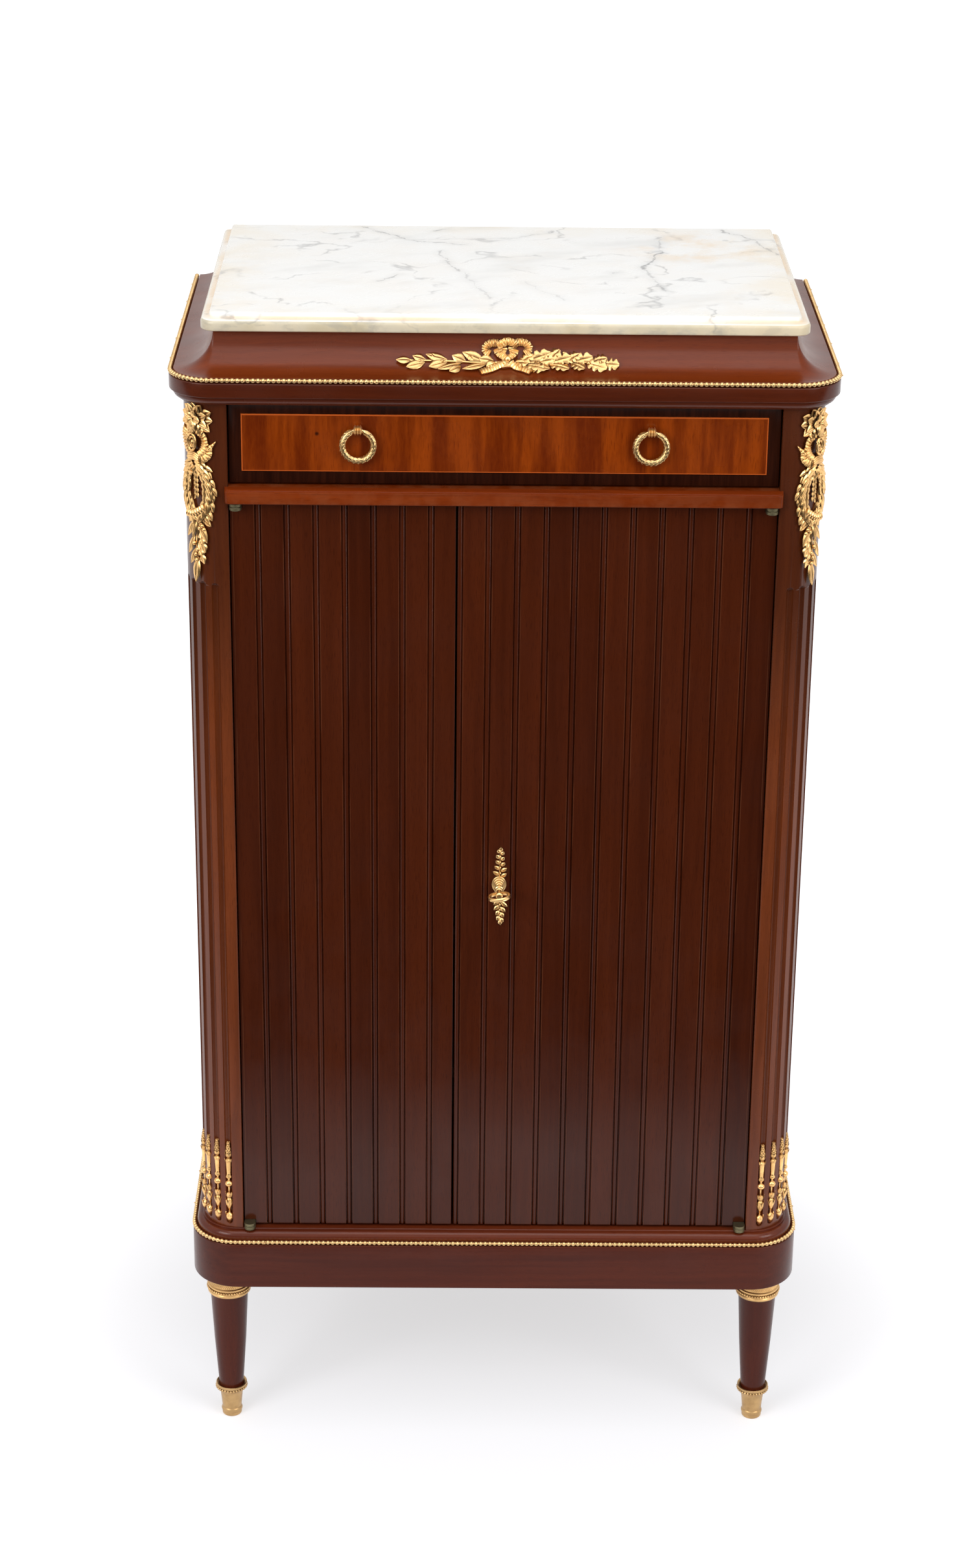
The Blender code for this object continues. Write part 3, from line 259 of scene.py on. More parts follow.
# dark tone, light tone, run of the grain, roughness, specular level, further tones
woodLooks = {
    "postMahogany": ((0.095, 0.0200, 0.0055), (0.198, 0.0430, 0.0095), "upright", 0.22, 0.30,
                     # painted shade for the posts: darker in the flutes and towards the top
                     {"dusk": (0.022, 0.0042, 0.0012), "crease": 0.0050, "shaded": (0.78, 1.03, 0.56)}),
    "doorMahogany": ((0.034, 0.0054, 0.0012), (0.078, 0.0138, 0.0031), "upright", 0.17, 0.24,
                     # arris: lighter line on the slat arrises, rubbed wear and a painted highlight
                     {"arris": (0.165, 0.052, 0.022)}),
    "coveMahogany": ((0.100, 0.0152, 0.0024), (0.188, 0.0325, 0.0056), "level", 0.22, 0.22,
                     {"edge": (0.30, 0.09, 0.04)}),
    "corniceMahogany": ((0.052, 0.0078, 0.0018), (0.100, 0.0165, 0.0040), "level", 0.22, 0.30,
                        {"edge": (0.30, 0.09, 0.04)}),
    "plinthMahogany": ((0.057, 0.0080, 0.0026), (0.108, 0.0175, 0.0056), "level", 0.22, 0.20,
                       {"edge": (0.28, 0.10, 0.05)}),
    "baseMahogany": ((0.080, 0.0120, 0.0035), (0.150, 0.0270, 0.0080), "level", 0.20, 0.28,
                     {"edge": (0.28, 0.10, 0.05)}),
    "legMahogany": ((0.055, 0.0080, 0.0032), (0.100, 0.0170, 0.0064), "upright", 0.24, 0.21, {}),
    "railMahogany": ((0.105, 0.0140, 0.0018), (0.205, 0.0300, 0.0030), "level", 0.22, 0.10,
                     {"edge": (0.34, 0.12, 0.05)}),
    "insideMahogany": ((0.070, 0.016, 0.006), (0.150, 0.040, 0.015), "level", 0.40, 0.30, {}),
    "plainWood": ((0.21, 0.115, 0.052), (0.38, 0.235, 0.120), "upright", 0.58, 0.25, {}),
    "drawerWood": ((0.24, 0.130, 0.060), (0.42, 0.260, 0.135), "deep", 0.55, 0.25, {}),
}
slats = {"start": -0.2727, "pitch": 0.028705, "arris": 0.0037, "worn": 0.0006, "share": 0.55}


def grainVector(place, grain):
    if grain == "upright":
        return place
    quarter = radians(90.0)
    alongY = mapped(place, turned=(quarter, 0.0, 0.0))
    if grain == "deep":
        return alongY
    alongX = mapped(place, turned=(0.0, quarter, 0.0))
    normal = term(place.tree, "ShaderNodeTexCoord", output="Normal")
    sideways = abs(split(normal)[0]).calc("GREATER_THAN", 0.7)
    return term(place.tree, "ShaderNodeMix", {0: sideways, 4: alongX, 5: alongY}, 1, data_type="VECTOR")


# a tone for each slat, and a lighter line along its arrises, partly rubbed wear and partly a painted
# highlight
def slatTone(place):
    count = (split(place)[0] - slats["start"]) / slats["pitch"]
    values = {"W": count.calc("FLOOR")}
    tone = term(place.tree, "ShaderNodeTexWhiteNoise", values, "Value", noise_dimensions="1D")
    fromArris = abs(count.calc("PINGPONG", 0.5) * slats["pitch"] - slats["arris"])
    broken = ranged(noise(mapped(place, (1.0, 1.0, 0.25)), 55.0, 4.0), 0.36, 0.62)
    return tone, ranged(fromArris, 0.0, slats["worn"], slats["share"], 0.0) * broken


# painted shade: darker and duller in the flutes, where shade falls, and darker towards the top, as in the
# shadow under the cornice
def duskyTone(place, colour, specular, dusk, crease, shaded):
    start, end, share = shaded
    deep = ranged(openness(place, crease), 0.55, 0.95, 0.90, 0.0)
    upper = ranged(split(place)[2], start, end, 0.0, share)
    return mixColour(deep.calc("MAXIMUM", upper), colour, dusk), ranged(deep, 0.0, 0.6, specular, 0.04)


def makeWood(name, dark, light, grain, gloss, specular, more):
    material, shader, place = startMaterial(name)
    vector = grainVector(place, grain)
    tone = None
    if "arris" in more:
        tone, worn = slatTone(place)
        vector = vectorCalc("ADD", vector, join(0.0, 0.0, tone * 7.0))
    pointed = term(place.tree, "ShaderNodeNewGeometry", output="Pointiness")
    wear = useGroup(wearGroup, Vector=place, Pointiness=pointed)
    grown = useGroup(grainGroup, Vector=vector)
    mix = grown["Streak"] * 0.55 + grown["Cloud"] * 0.45
    if tone:
        mix = mix * 0.62 + tone * 0.38
    colour = mixColour(mix, dark, light)
    colour = mixColour(grown["Pore"] * 0.55, colour, dark)
    # lighter arris line: rubbed wear and a painted highlight
    if tone:
        colour = mixColour(worn, colour, more["arris"])
    if "edge" in more:
        colour = mixColour(wear["Edge"] * 0.55, colour, more["edge"])
    # painted shade in the flutes and towards the top
    if "dusk" in more:
        colour, specular = duskyTone(place, colour, specular, **more)
    feed(shader["Base Color"], colour)
    feed(shader["Roughness"], ranged(wear["Smudge"], 0.3, 0.7, gloss - 0.03, gloss + 0.07))
    feed(shader["Specular IOR Level"], specular)
    feed(shader["Normal"], bump(grown["Pore"], 0.10, True))
    return material


drawerFace = {"half": 0.2590, "low": 1.1110, "high": 1.1695, "line": 0.0011, "knot": (-0.1845, 1.1500),
              "panelDark": (0.092, 0.0090, 0.0004), "panelLight": (0.290, 0.0470, 0.0020),
              "lineTone": (0.56, 0.110, 0.018), "borderDark": (0.0130, 0.0026, 0.0010),
              "borderLight": (0.032, 0.0068, 0.0024), "knotTone": (0.02, 0.004, 0.001), "specular": 0.14}


def makeDrawerFace():
    material, shader, place = startMaterial("drawerVeneer")
    look = drawerFace
    x, z = split(place)[::2]
    middle, tall = (look["low"] + look["high"]) / 2, (look["high"] - look["low"]) / 2
    over = (abs(x) - look["half"]).calc("MAXIMUM", abs(z - middle) - tall)
    grain = useGroup(grainGroup, Vector=place, Streaks=260.0, Stretch=0.05)
    stripe = noise(mapped(place, (1.0, 1.0, 0.10)), 62.0, 3.0, 0.55)
    fleck = noise(mapped(place, (1.0, 1.0, 0.22)), 420.0)
    figure = ranged(stripe, 0.35, 0.65) * 0.62 + fleck * 0.38
    panel = mixColour(figure, look["panelDark"], look["panelLight"])
    panel = mixColour(grain["Pore"] * 0.5, panel, look["panelDark"])
    knot = ranged(distance(x, z, *look["knot"]), 0.0006, 0.0030, 0.9, 0.0)
    panel = mixColour(knot, panel, look["knotTone"])
    panel = mixColour(over.calc("GREATER_THAN", -look["line"]), panel, look["lineTone"])
    border = mixColour(grain["Streak"], look["borderDark"], look["borderLight"])
    feed(shader["Base Color"], mixColour(over.calc("GREATER_THAN", 0.0), panel, border))
    feed(shader["Roughness"], ranged(noise(place, 18.0, 4.0), 0.3, 0.7, 0.20, 0.30))
    feed(shader["Specular IOR Level"], look["specular"])
    return material


# lines: start x and y, end x and y, strength; patch: middle of the stain and its reach
marbleLook = {
    "white": (0.930, 0.925, 0.905), "shade": (0.74, 0.735, 0.71), "vein": (0.20, 0.20, 0.205),
    "stain": (0.86, 0.60, 0.32), "edge": (0.545, 0.472, 0.318), "stroke": (0.40, 0.375, 0.31),
    "cream": (0.90, 0.76, 0.52), "quirk": (0.80, 0.56, 0.32), "patch": (0.205, 0.125, 0.060),
    "edgeTop": 1.2585, "quirkHeight": 1.2605, "middleY": 0.030, "specular": 0.30,
    "lines": [(-0.152, 0.213, -0.122, 0.179, 0.7), (-0.122, 0.179, -0.088, 0.146, 0.9),
              (-0.088, 0.146, -0.040, 0.134, 0.7), (-0.101, 0.154, -0.038, 0.156, 0.4),
              (-0.038, 0.156, 0.012, 0.163, 0.6), (0.012, 0.163, 0.054, 0.194, 0.8),
              (-0.067, 0.104, -0.046, 0.023, 0.7), (-0.046, 0.023, -0.015, -0.084, 0.5),
              (-0.129, -0.022, -0.106, 0.005, 0.7), (0.166, 0.172, 0.163, 0.104, 0.6),
              (0.163, 0.104, 0.143, 0.038, 1.0), (0.143, 0.038, 0.159, -0.048, 0.6),
              (0.232, 0.210, 0.266, 0.167, 0.9), (0.266, 0.167, 0.286, 0.100, 0.7),
              (0.110, 0.022, 0.116, 0.025, 1.0), (-0.070, 0.196, -0.058, 0.200, 0.9),
              (0.020, -0.020, 0.060, -0.090, 0.4)],
}


def makeMarble():
    material, shader, place = startMaterial("veinedMarble")
    look = marbleLook
    x, y, z = split(place)
    slant = mapped(place, (1.0, 1.35, 1.0), (0.0, 0.0, radians(-34.0)))
    leaning = mapped(place, (1.0, 1.0, 2.4), (0.0, radians(-32.0), 0.0))
    cloud = noise(mapped(slant, (0.7, 1.6, 1.0)), 11.0, 6.0, 0.6)
    warm = noise(mapped(place, shift=(0.6, 0.2, 0.0)), 15.0, 5.0, 0.6)
    edgeOn = z.calc("LESS_THAN", look["edgeTop"])
    colour = mixColour(ranged(cloud, 0.46, 0.80, 0.0, 0.70), look["white"], look["shade"])
    colour = mixColour(edgeOn * ranged(cloud, 0.40, 0.70, 0.80, 1.0), colour, look["edge"])
    strokes = edgeOn * ranged(noise(leaning, 44.0, 5.0, 0.62), 0.50, 0.66, 0.0, 0.62)
    colour = mixColour(strokes, colour, look["stroke"])
    toFront = ranged(abs(y - look["middleY"]), 0.13, 0.19, 0.0, 0.7)
    rim = ranged(abs(x), 0.20, 0.30).calc("MAXIMUM", toFront) * ranged(warm, 0.34, 0.64, 0.10, 0.55)
    colour = mixColour(rim * ranged(x, -0.30, 0.30, 0.60, 0.80), colour, look["cream"])
    patchX, patchY, reach = look["patch"]
    near = ranged(distance(x, y, patchX, patchY), reach * 0.3, reach * 1.6, 0.60, 0.07)
    colour = mixColour(ranged(warm, 0.42, 0.66) * near, colour, look["stain"])
    quirk = ranged(abs(z - look["quirkHeight"]), 0.0003, 0.0018, 0.7, 0.0)
    colour = mixColour(quirk * ranged(noise(place, 11.0, 3.0), 0.34, 0.58), colour, look["quirk"])
    fine = useGroup(veinGroup, Vector=slant, Scale=6.5, Width=0.013, Warp=0.10)
    colour = mixColour(fine["Vein"] * 0.50, colour, look["vein"])
    veins = 0.0
    for x0, y0, x1, y1, strength in look["lines"]:
        ends = {"Start": (x0, y0, 0.0), "End": (x1, y1, 0.0)}
        veins = useGroup(lineGroup, Vector=place, Strength=strength, **ends)["Line"].calc("MAXIMUM", veins)
    feed(shader["Base Color"], mixColour(veins, colour, look["vein"]))
    feed(shader["Roughness"], ranged(cloud, 0.3, 0.7, 0.22, 0.34))
    feed(shader["Specular IOR Level"], look["specular"])
    return material


# bright tone, tone in the creases (painted shade), roughness, reach of a crease
metalLooks = {
    "giltBronze": ((0.75, 0.465, 0.195), (0.12, 0.045, 0.010), 0.28, 0.0035),
    # the mount, lock, bow and ring finishes are brighter copies of the gilt bronze, painted light; the shoe
    # finish is a darker copy, painted shade
    "giltMount": ((0.95, 0.580, 0.230), (0.15, 0.055, 0.012), 0.26, 0.0035),
    "giltLock": ((1.0, 0.66, 0.290), (0.26, 0.105, 0.028), 0.28, 0.0035),
    "giltBow": ((1.0, 0.68, 0.310), (0.30, 0.130, 0.035), 0.32, 0.0022),
    "giltShoe": ((0.60, 0.385, 0.175), (0.10, 0.040, 0.012), 0.32, 0.0030),
    "giltBeads": ((0.78, 0.52, 0.24), (0.11, 0.05, 0.016), 0.28, 0.0025),
    "brightenedGilt": ((0.92, 0.620, 0.280), (0.10, 0.048, 0.012), 0.24, 0.0022),
    # dull brass: aged greenish colour, made darker still as painted shade
    "dullBrass": ((0.19, 0.165, 0.095), (0.05, 0.042, 0.024), 0.48, 0.0030),
    "lockSteel": ((0.42, 0.41, 0.39), (0.10, 0.09, 0.08), 0.42, 0.0050),
}


def makeMetal(name, bright, deep, gloss, reach):
    material, shader, place = startMaterial(name)
    smudge = useGroup(wearGroup, Vector=mapped(place, (6.0, 6.0, 6.0)))["Smudge"]
    # painted shade: the colour falls to the deep tone where occlusion is high, in creases and hollows
    tone = ranged(openness(place, reach), 0.22, 0.88) * ranged(smudge, 0.30, 0.70, 0.72, 1.0)
    feed(shader["Base Color"], mixColour(tone, deep, bright))
    feed(shader["Roughness"], ranged(tone, 0.2, 1.0, gloss + 0.25, gloss))
    feed(shader["Metallic"], 1.0)
    feed(shader["Normal"], bump(noise(place, 1700.0), 0.12))
    return material


finishes = {name: makeWood(name, *look) for name, look in woodLooks.items()}
finishes.update({name: makeMetal(name, *look) for name, look in metalLooks.items()})
finishes["drawerVeneer"] = makeDrawerFace()
finishes["veinedMarble"] = makeMarble()
print("finishes made:", len(finishes))


# mesh helpers

def circle(count):
    return [(cos(2 * pi * k / count), sin(2 * pi * k / count)) for k in range(count)]


def arc(centreX, centreY, radiusX, radiusY, start, end, steps):
    turns = [radians(start + (end - start) * k / steps) for k in range(steps + 1)]
    return [(centreX + radiusX * cos(angle), centreY + radiusY * sin(angle)) for angle in turns]


def skin(shape, sections, ring=False):
    loops = [[shape.verts.new(point) for point in section] for section in sections]
    pairs = list(zip(loops, loops[1:]))
    if ring:
        pairs.append((loops[-1], loops[0]))
    else:
        shape.faces.new(loops[0])
        shape.faces.new(loops[-1])
    for lower, upper in pairs:
        for k in range(len(lower)):
            shape.faces.new((lower[k - 1], lower[k], upper[k], upper[k - 1]))


def skinned(sections, ring=False):
    shape = bmesh.new()
    skin(shape, sections, ring)
    return shape


def turn(shape, profile, place, steps, ring=False, wobble=None):
    least = 0.00002  # a point on the axis is kept as a very small ring
    sections = []
    for radius, height in profile:
        section = []
        for k, (x, y) in enumerate(circle(steps)):
            reach = max(radius, least) + (wobble(2 * pi * k / steps, height, radius) if wobble else 0.0)
            section.append(place @ Vector((reach * x, reach * y, height)))
        sections.append(section)
    skin(shape, sections, ring)


def wire(shape, points, radius, sides, closed=False):
    askew = Vector((0.31, 0.17, 0.93))  # along no edge of the cabinet
    last = len(points) - 1
    sections = []
    for k, point in enumerate(points):
        before = points[k - 1] if k or closed else point
        after = points[(k + 1) % len(points)] if k < last or closed else point
        along = (after - before).normalized()
        side = along.cross(askew).normalized()
        other = along.cross(side)
        sections.append([point + (side * x + other * y) * radius for x, y in circle(sides)])
    skin(shape, sections, closed)


def ball(shape, radius, place, segments=12, rings=8):
    bmesh.ops.create_uvsphere(shape, u_segments=segments, v_segments=rings, radius=radius, matrix=place)


def linkMesh(name, mesh, finish, sharp):
    mesh.materials.clear()
    mesh.materials.append(finishes[finish])
    mesh.shade_smooth()
    mesh.set_sharp_from_angle(angle=radians(sharp))
    piece = bpy.data.objects.new(name, mesh)
    scene.collection.objects.link(piece)
    return piece


def finishMesh(name, shape, finish, sharp=38.0):
    bmesh.ops.recalc_face_normals(shape, faces=shape.faces)
    mesh = bpy.data.meshes.new(name)
    shape.to_mesh(mesh)
    shape.free()
    return linkMesh(name, mesh, finish, sharp)


def settle(piece, body, slotName, *stoodFor):
    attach(piece, body)
    if stoodFor:
        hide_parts(*stoodFor)


def gild(name, shape, finish, sharp, *stoodFor, body="carcass"):
    settle(finishMesh(name, shape, finish, sharp), body, "gilt_bronze", *stoodFor)


def planOutline(half, front, back, frontRadius, backRadius, height, steps=16):
    inner, outer = half - frontRadius, half - backRadius
    frontY, backY = front + frontRadius, back - backRadius
    corners = ((-outer, backY, backRadius, 90.0), (-inner, frontY, frontRadius, 180.0),
               (inner, frontY, frontRadius, 270.0), (outer, backY, backRadius, 0.0))
    points = []
    for x, y, radius, start in corners:
        points += arc(x, y, radius, radius, start, start + 90.0, steps)
    return [Vector((x, y, height)) for x, y in points]


boards = {"least": 0.0008, "back": 0.0006, "lap": 0.004}


# a board whose front and sides follow a profile of insets and heights
def mouldedBoard(name, node, corner, profile, finish, slotName="mahogany"):
    start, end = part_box(node)
    sections = [planOutline(end.x - inset, start.y + inset, end.y, max(corner - inset, boards["least"]),
                            boards["back"], z) for inset, z in profile]
    settle(finishMesh(name, skinned(sections), finish), "carcass", slotName, node)


# geometry node trees for what repeats

def shapeTree(name, inputs):
    return newTree(name, {**inputs, "Finish": "Material"}, "Shape", kind="Geometry", gives="Geometry")


def endTree(tree, given, result, points, instance, facing, size):
    values = {"Points": points, "Instance": instance, "Rotation": facing, "Scale": size}
    rows = term(tree, "GeometryNodeInstanceOnPoints", values)
    solid = term(tree, "GeometryNodeRealizeInstances", {"Geometry": rows})
    smooth = term(tree, "GeometryNodeSetShadeSmooth", {"Geometry": solid})
    values = {"Geometry": smooth, "Material": given["Finish"]}
    feed(result["Shape"], term(tree, "GeometryNodeSetMaterial", values))
    return tree


def makeBeadTree():
    inputs = {"Path": "Geometry", "Pitch": 0.005, "Radius": 0.0024, "Length": 0.95, "Segments": 10}
    tree, given, result = shapeTree("beadRow", inputs)
    line = term(tree, "GeometryNodeMeshToCurve", {"Mesh": given["Path"]})
    spaced = term(tree, "GeometryNodeResampleCurve", {"Curve": line, "Length": given["Pitch"]}, mode="LENGTH")
    values = {"Segments": given["Segments"], "Rings": 6, "Radius": given["Radius"]}
    bead = term(tree, "GeometryNodeMeshUVSphere", values)
    along = term(tree, "GeometryNodeInputTangent")
    facing = term(tree, "FunctionNodeAlignRotationToVector", {"Vector": along}, axis="Z")
    return endTree(tree, given, result, spaced, bead, facing, join(1.0, 1.0, given["Length"]))


def makeSprayTree():
    tree, given, result = shapeTree("leafSpray", {"Points": "Geometry", "Leaf": "Object", "Size": 1.0})
    leaf = term(tree, "GeometryNodeObjectInfo", {"Object": given["Leaf"]}, "Geometry")
    facing, measure = (
        term(tree, "GeometryNodeInputNamedAttribute", {"Name": name}, data_type="FLOAT_VECTOR")
        for name in ("facing", "measure"))
    turned = term(tree, "FunctionNodeEulerToRotation", {0: facing})
    size = vectorCalc("SCALE", measure, given["Size"])
    return endTree(tree, given, result, given["Points"], leaf, turned, size)


beadTree = makeBeadTree()
sprayTree = makeSprayTree()
leafObjects = {}


def runTree(tree, points, edges, layers, values):
    mesh = bpy.data.meshes.new("points")
    mesh.from_pydata([tuple(point) for point in points], edges, [])
    for name, vectors in layers.items():
        layer = mesh.attributes.new(name, "FLOAT_VECTOR", "POINT")
        for item, vector in zip(layer.data, vectors):
            item.vector = vector
    host = bpy.data.objects.new("points", mesh)
    scene.collection.objects.link(host)
    modifier = host.modifiers.new("make", "NODES")
    modifier.node_group = tree
    for item in tree.interface.items_tree:
        if item.in_out == "INPUT" and item.name in values:
            modifier[item.identifier] = values[item.name]
    made = freeze(host)
    host.modifiers.remove(modifier)
    bpy.data.objects.remove(host, do_unlink=True)
    return made


def freeze(piece):
    bpy.context.view_layer.update()
    return bpy.data.meshes.new_from_object(piece.evaluated_get(bpy.context.evaluated_depsgraph_get()))


def beadMesh(points, settings, finish, closed=False):
    edges = [(k, k + 1) for k in range(len(points) - 1)]
    if closed:
        edges.append((len(points) - 1, 0))
    values = {key.capitalize(): value for key, value in settings.items()}
    return runTree(beadTree, points, edges, {}, {**values, "Finish": finishes[finish]})


def sprayMesh(kind, places, finish):
    spots, spins, sizes = zip(*(place.decompose() for place in places))
    layers = {"facing": [spin.to_euler() for spin in spins], "measure": sizes}
    values = {"Leaf": leafObjects[kind], "Size": 1.0, "Finish": finishes[finish]}
    return runTree(sprayTree, spots, [], layers, values)


# main lengths, read from the frame

def low(node):
    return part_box(node)[0]


def high(node):
    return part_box(node)[1]


rear = high("cornice").y
doorFace, doorBack = low("left_door").y, high("left_door").y
postInner = low("right_front_post").x
seam = 0.0003  # gap between two fixed pieces of the frame
print("doors from", round(doorFace, 4), "to", round(doorBack, 4))


# marble slab with a raised field

marble = {
    "corner": 0.0150, "edge": 0.0115, "arris": 0.0016, "round": 0.0042, "step": 0.0085, "soft": 0.0026,
    "quirk": 0.0002,
}


def makeMarbleTop():
    bottom, top = low("marble_top").z, high("marble_top").z
    r, soft, step, arris = marble["round"], marble["soft"], marble["step"], marble["arris"]
    ledge = bottom + marble["edge"]
    foot = ledge + marble["quirk"]
    crown = top - foot - soft
    profile = [(boards["lap"], bottom)]
    profile += arc(arris, bottom + arris, -arris, -arris, 90.0, 0.0, 4)
    profile += arc(r, ledge - r, -r, r, 0.0, 90.0, 7)
    profile += arc(step - soft, foot + soft, soft, -soft, 90.0, 0.0, 5)
    profile += arc(step + crown, top - crown, -crown, crown, 0.0, 90.0, 6)[1:]
    profile.append((step + crown + boards["lap"], top))
    mouldedBoard("marbleTop", "marble_top", marble["corner"], profile, "veinedMarble", "marble")


# coved frieze, cornice and base

cove = {
    "lip": 0.0045, "corner": 0.0405, "depth": 0.0398, "arris": 0.0008, "ease": 0.0010, "soft": 0.0004,
    "steps": 26,
}
cornice = {
    "corner": 0.0450, "bed": 0.0085, "inset": 0.0085, "fillet": 0.0035, "arris": 0.0010, "quirk": 0.0002,
    "foot": 0.0009, "neck": 0.0006, "lap": 0.012,
}


def makeCove():
    bottom, top = low("cove_frieze").z, high("cove_frieze").z
    arris, lip = cove["arris"], bottom + cove["lip"]
    profile = [(boards["lap"], bottom), (arris, bottom), (0.0, bottom + arris), (0.0, lip - cove["ease"]),
               (cove["soft"], lip - seam)]
    profile += arc(0.0, top, cove["depth"], lip - seam - top, 90.0, 0.0, cove["steps"])[1:]
    mouldedBoard("coveFrieze", "cove_frieze", cove["corner"], profile, "coveMahogany")


def makeCornice():
    bottom, top = low("cornice").z, high("cornice").z
    inset, fillet, arris = cornice["inset"], cornice["fillet"], cornice["arris"]
    bed = bottom + cornice["bed"]
    face, waist, foot = bed + cornice["quirk"], bed - cornice["neck"], bottom + cornice["foot"]
    profile = [(inset + boards["lap"], bottom), (inset, bottom)]
    profile += arc(inset, waist, fillet - inset, foot - waist, 90.0, 0.0, 8)
    profile.append((fillet, bed))
    profile += arc(arris, face + arris, -arris, -arris, 90.0, 0.0, 4)
    profile += arc(arris, top - arris, -arris, arris, 0.0, 90.0, 5)
    profile.append((cornice["lap"], top))
    mouldedBoard("cornice", "cornice", cornice["corner"], profile, "corniceMahogany")


base = {
    "corner": 0.0500, "wall": 0.0220, "block": 0.1000, "arris": 0.0012, "tongue": 0.0060, "inset": 0.0045,
    "ovolo": 0.0056, "fillet": 0.0020, "ledge": 0.0013, "ease": 0.0003, "lap": 0.006,
}


def makeBase():
    start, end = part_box("plinth")
    arris, wall, block = base["arris"], base["wall"], base["block"]
    profile = arc(arris, start.z + arris, -arris, -arris, 90.0, 0.0, 4)
    profile += arc(arris, end.z - arris, -arris, arris, 0.0, 90.0, 4)
    sections = [planOutline(end.x - inset, start.y + inset, rear, base["corner"] - inset, boards["back"], z)
                for inset, z in profile]
    sections += [planOutline(end.x - wall, start.y + wall, rear - wall, block, block, z)
                 for z in (end.z, start.z)]
    settle(finishMesh("plinth", skinned(sections, True), "plinthMahogany"), "carcass", "mahogany", "plinth")

    bottom, top = low("base_board").z, high("base_board").z
    ovolo, ease, lower = base["ovolo"], base["ease"], bottom + base["tongue"]
    shoulder, inner = top - base["fillet"], ovolo + base["ledge"]
    profile = [(boards["lap"], bottom), (0.0, bottom)]
    profile += arc(ovolo, lower, -ovolo, shoulder - lower, 0.0, 90.0, 10)
    profile += [(inner, shoulder), (inner, top - ease), (inner + ease, top), (inner + base["lap"], top)]
    mouldedBoard("baseBoard", "base_board", base["corner"] - base["inset"], profile, "baseMahogany")


beads = {"pitch": 0.0050, "radius": 0.00255, "length": 0.92, "segments": 12}
beadStrip = {
    "inset": 0.0015, "end": 0.0010, "wire": 0.0014, "pin": 0.0009, "pinEvery": 0.062, "pinOut": 0.0026,
    "steps": 24,
}


def makeBeads(name, node, board, corner):
    z = (low(node).z + high(node).z) / 2
    inset, steps = beadStrip["inset"], beadStrip["steps"]
    half, front, end = high(board).x - inset, low(board).y + inset, rear - beadStrip["end"]
    plan = planOutline(half, front, rear, corner - inset, boards["back"], z, steps)
    path = [Vector((-half, end, z)), *plan[steps + 1:-steps - 1], Vector((half, end, z))]
    shape = bmesh.new()
    shape.from_mesh(beadMesh(path, beads, "giltBeads"))
    wire(shape, path, beadStrip["wire"], 8)
    gone = 0.0
    for before, after in zip(path, path[1:]):
        along = after - before
        gone += along.length
        if gone > beadStrip["pinEvery"]:
            count = max(1, int(along.length / beadStrip["pinEvery"]))
            out = along.cross(Vector((0.0, 0.0, 1.0))).normalized() * beadStrip["pinOut"]
            for k in range(count):
                spot = before.lerp(after, (k + 0.5) / count) + out
                ball(shape, beadStrip["pin"], Matrix.Translation(spot), 8, 5)
            gone = 0.0
    gild(name, shape, "giltBeads", 60.0, node)


# fluted quarter-round posts

posts = {
    "edge": 0.0030, "radius": 0.0418, "count": 4, "step": 19.0, "flute": 0.0038, "sink": 0.0032,
    "top": 0.1870, "foot": 0.0040, "proud": 0.0050, "facets": 8, "rounds": 9, "lengths": 6,
    "arris": 0.0010, "end": 0.001, "neck": 0.06, "plain": (0.0, 4.0, 8.0),
    "corner": [(0.0, 0.8), (0.3, 0.2), (1.0, 0.0)],
}


def fluteAngles():
    return [45.0 + (k - (posts["count"] - 1) / 2) * posts["step"] for k in range(posts["count"])]


def postAxis(sign, z=0.0):
    return Vector((sign * (postInner + posts["edge"]), doorFace - posts["proud"] + posts["radius"], z))


def postRadius(angle, z, fluteFoot, fluteTop):
    r = posts["flute"]
    centre = posts["radius"] + r - posts["sink"]
    reach = posts["radius"]
    past = max(z - (fluteTop - r), (fluteFoot + r) - z, 0.0)
    for middle in fluteAngles():
        off = radians(angle - middle)
        here = r * r - past * past - (centre * sin(off)) ** 2
        if here > 0.0:
            reach = min(reach, centre * cos(off) - sqrt(here))
    return reach


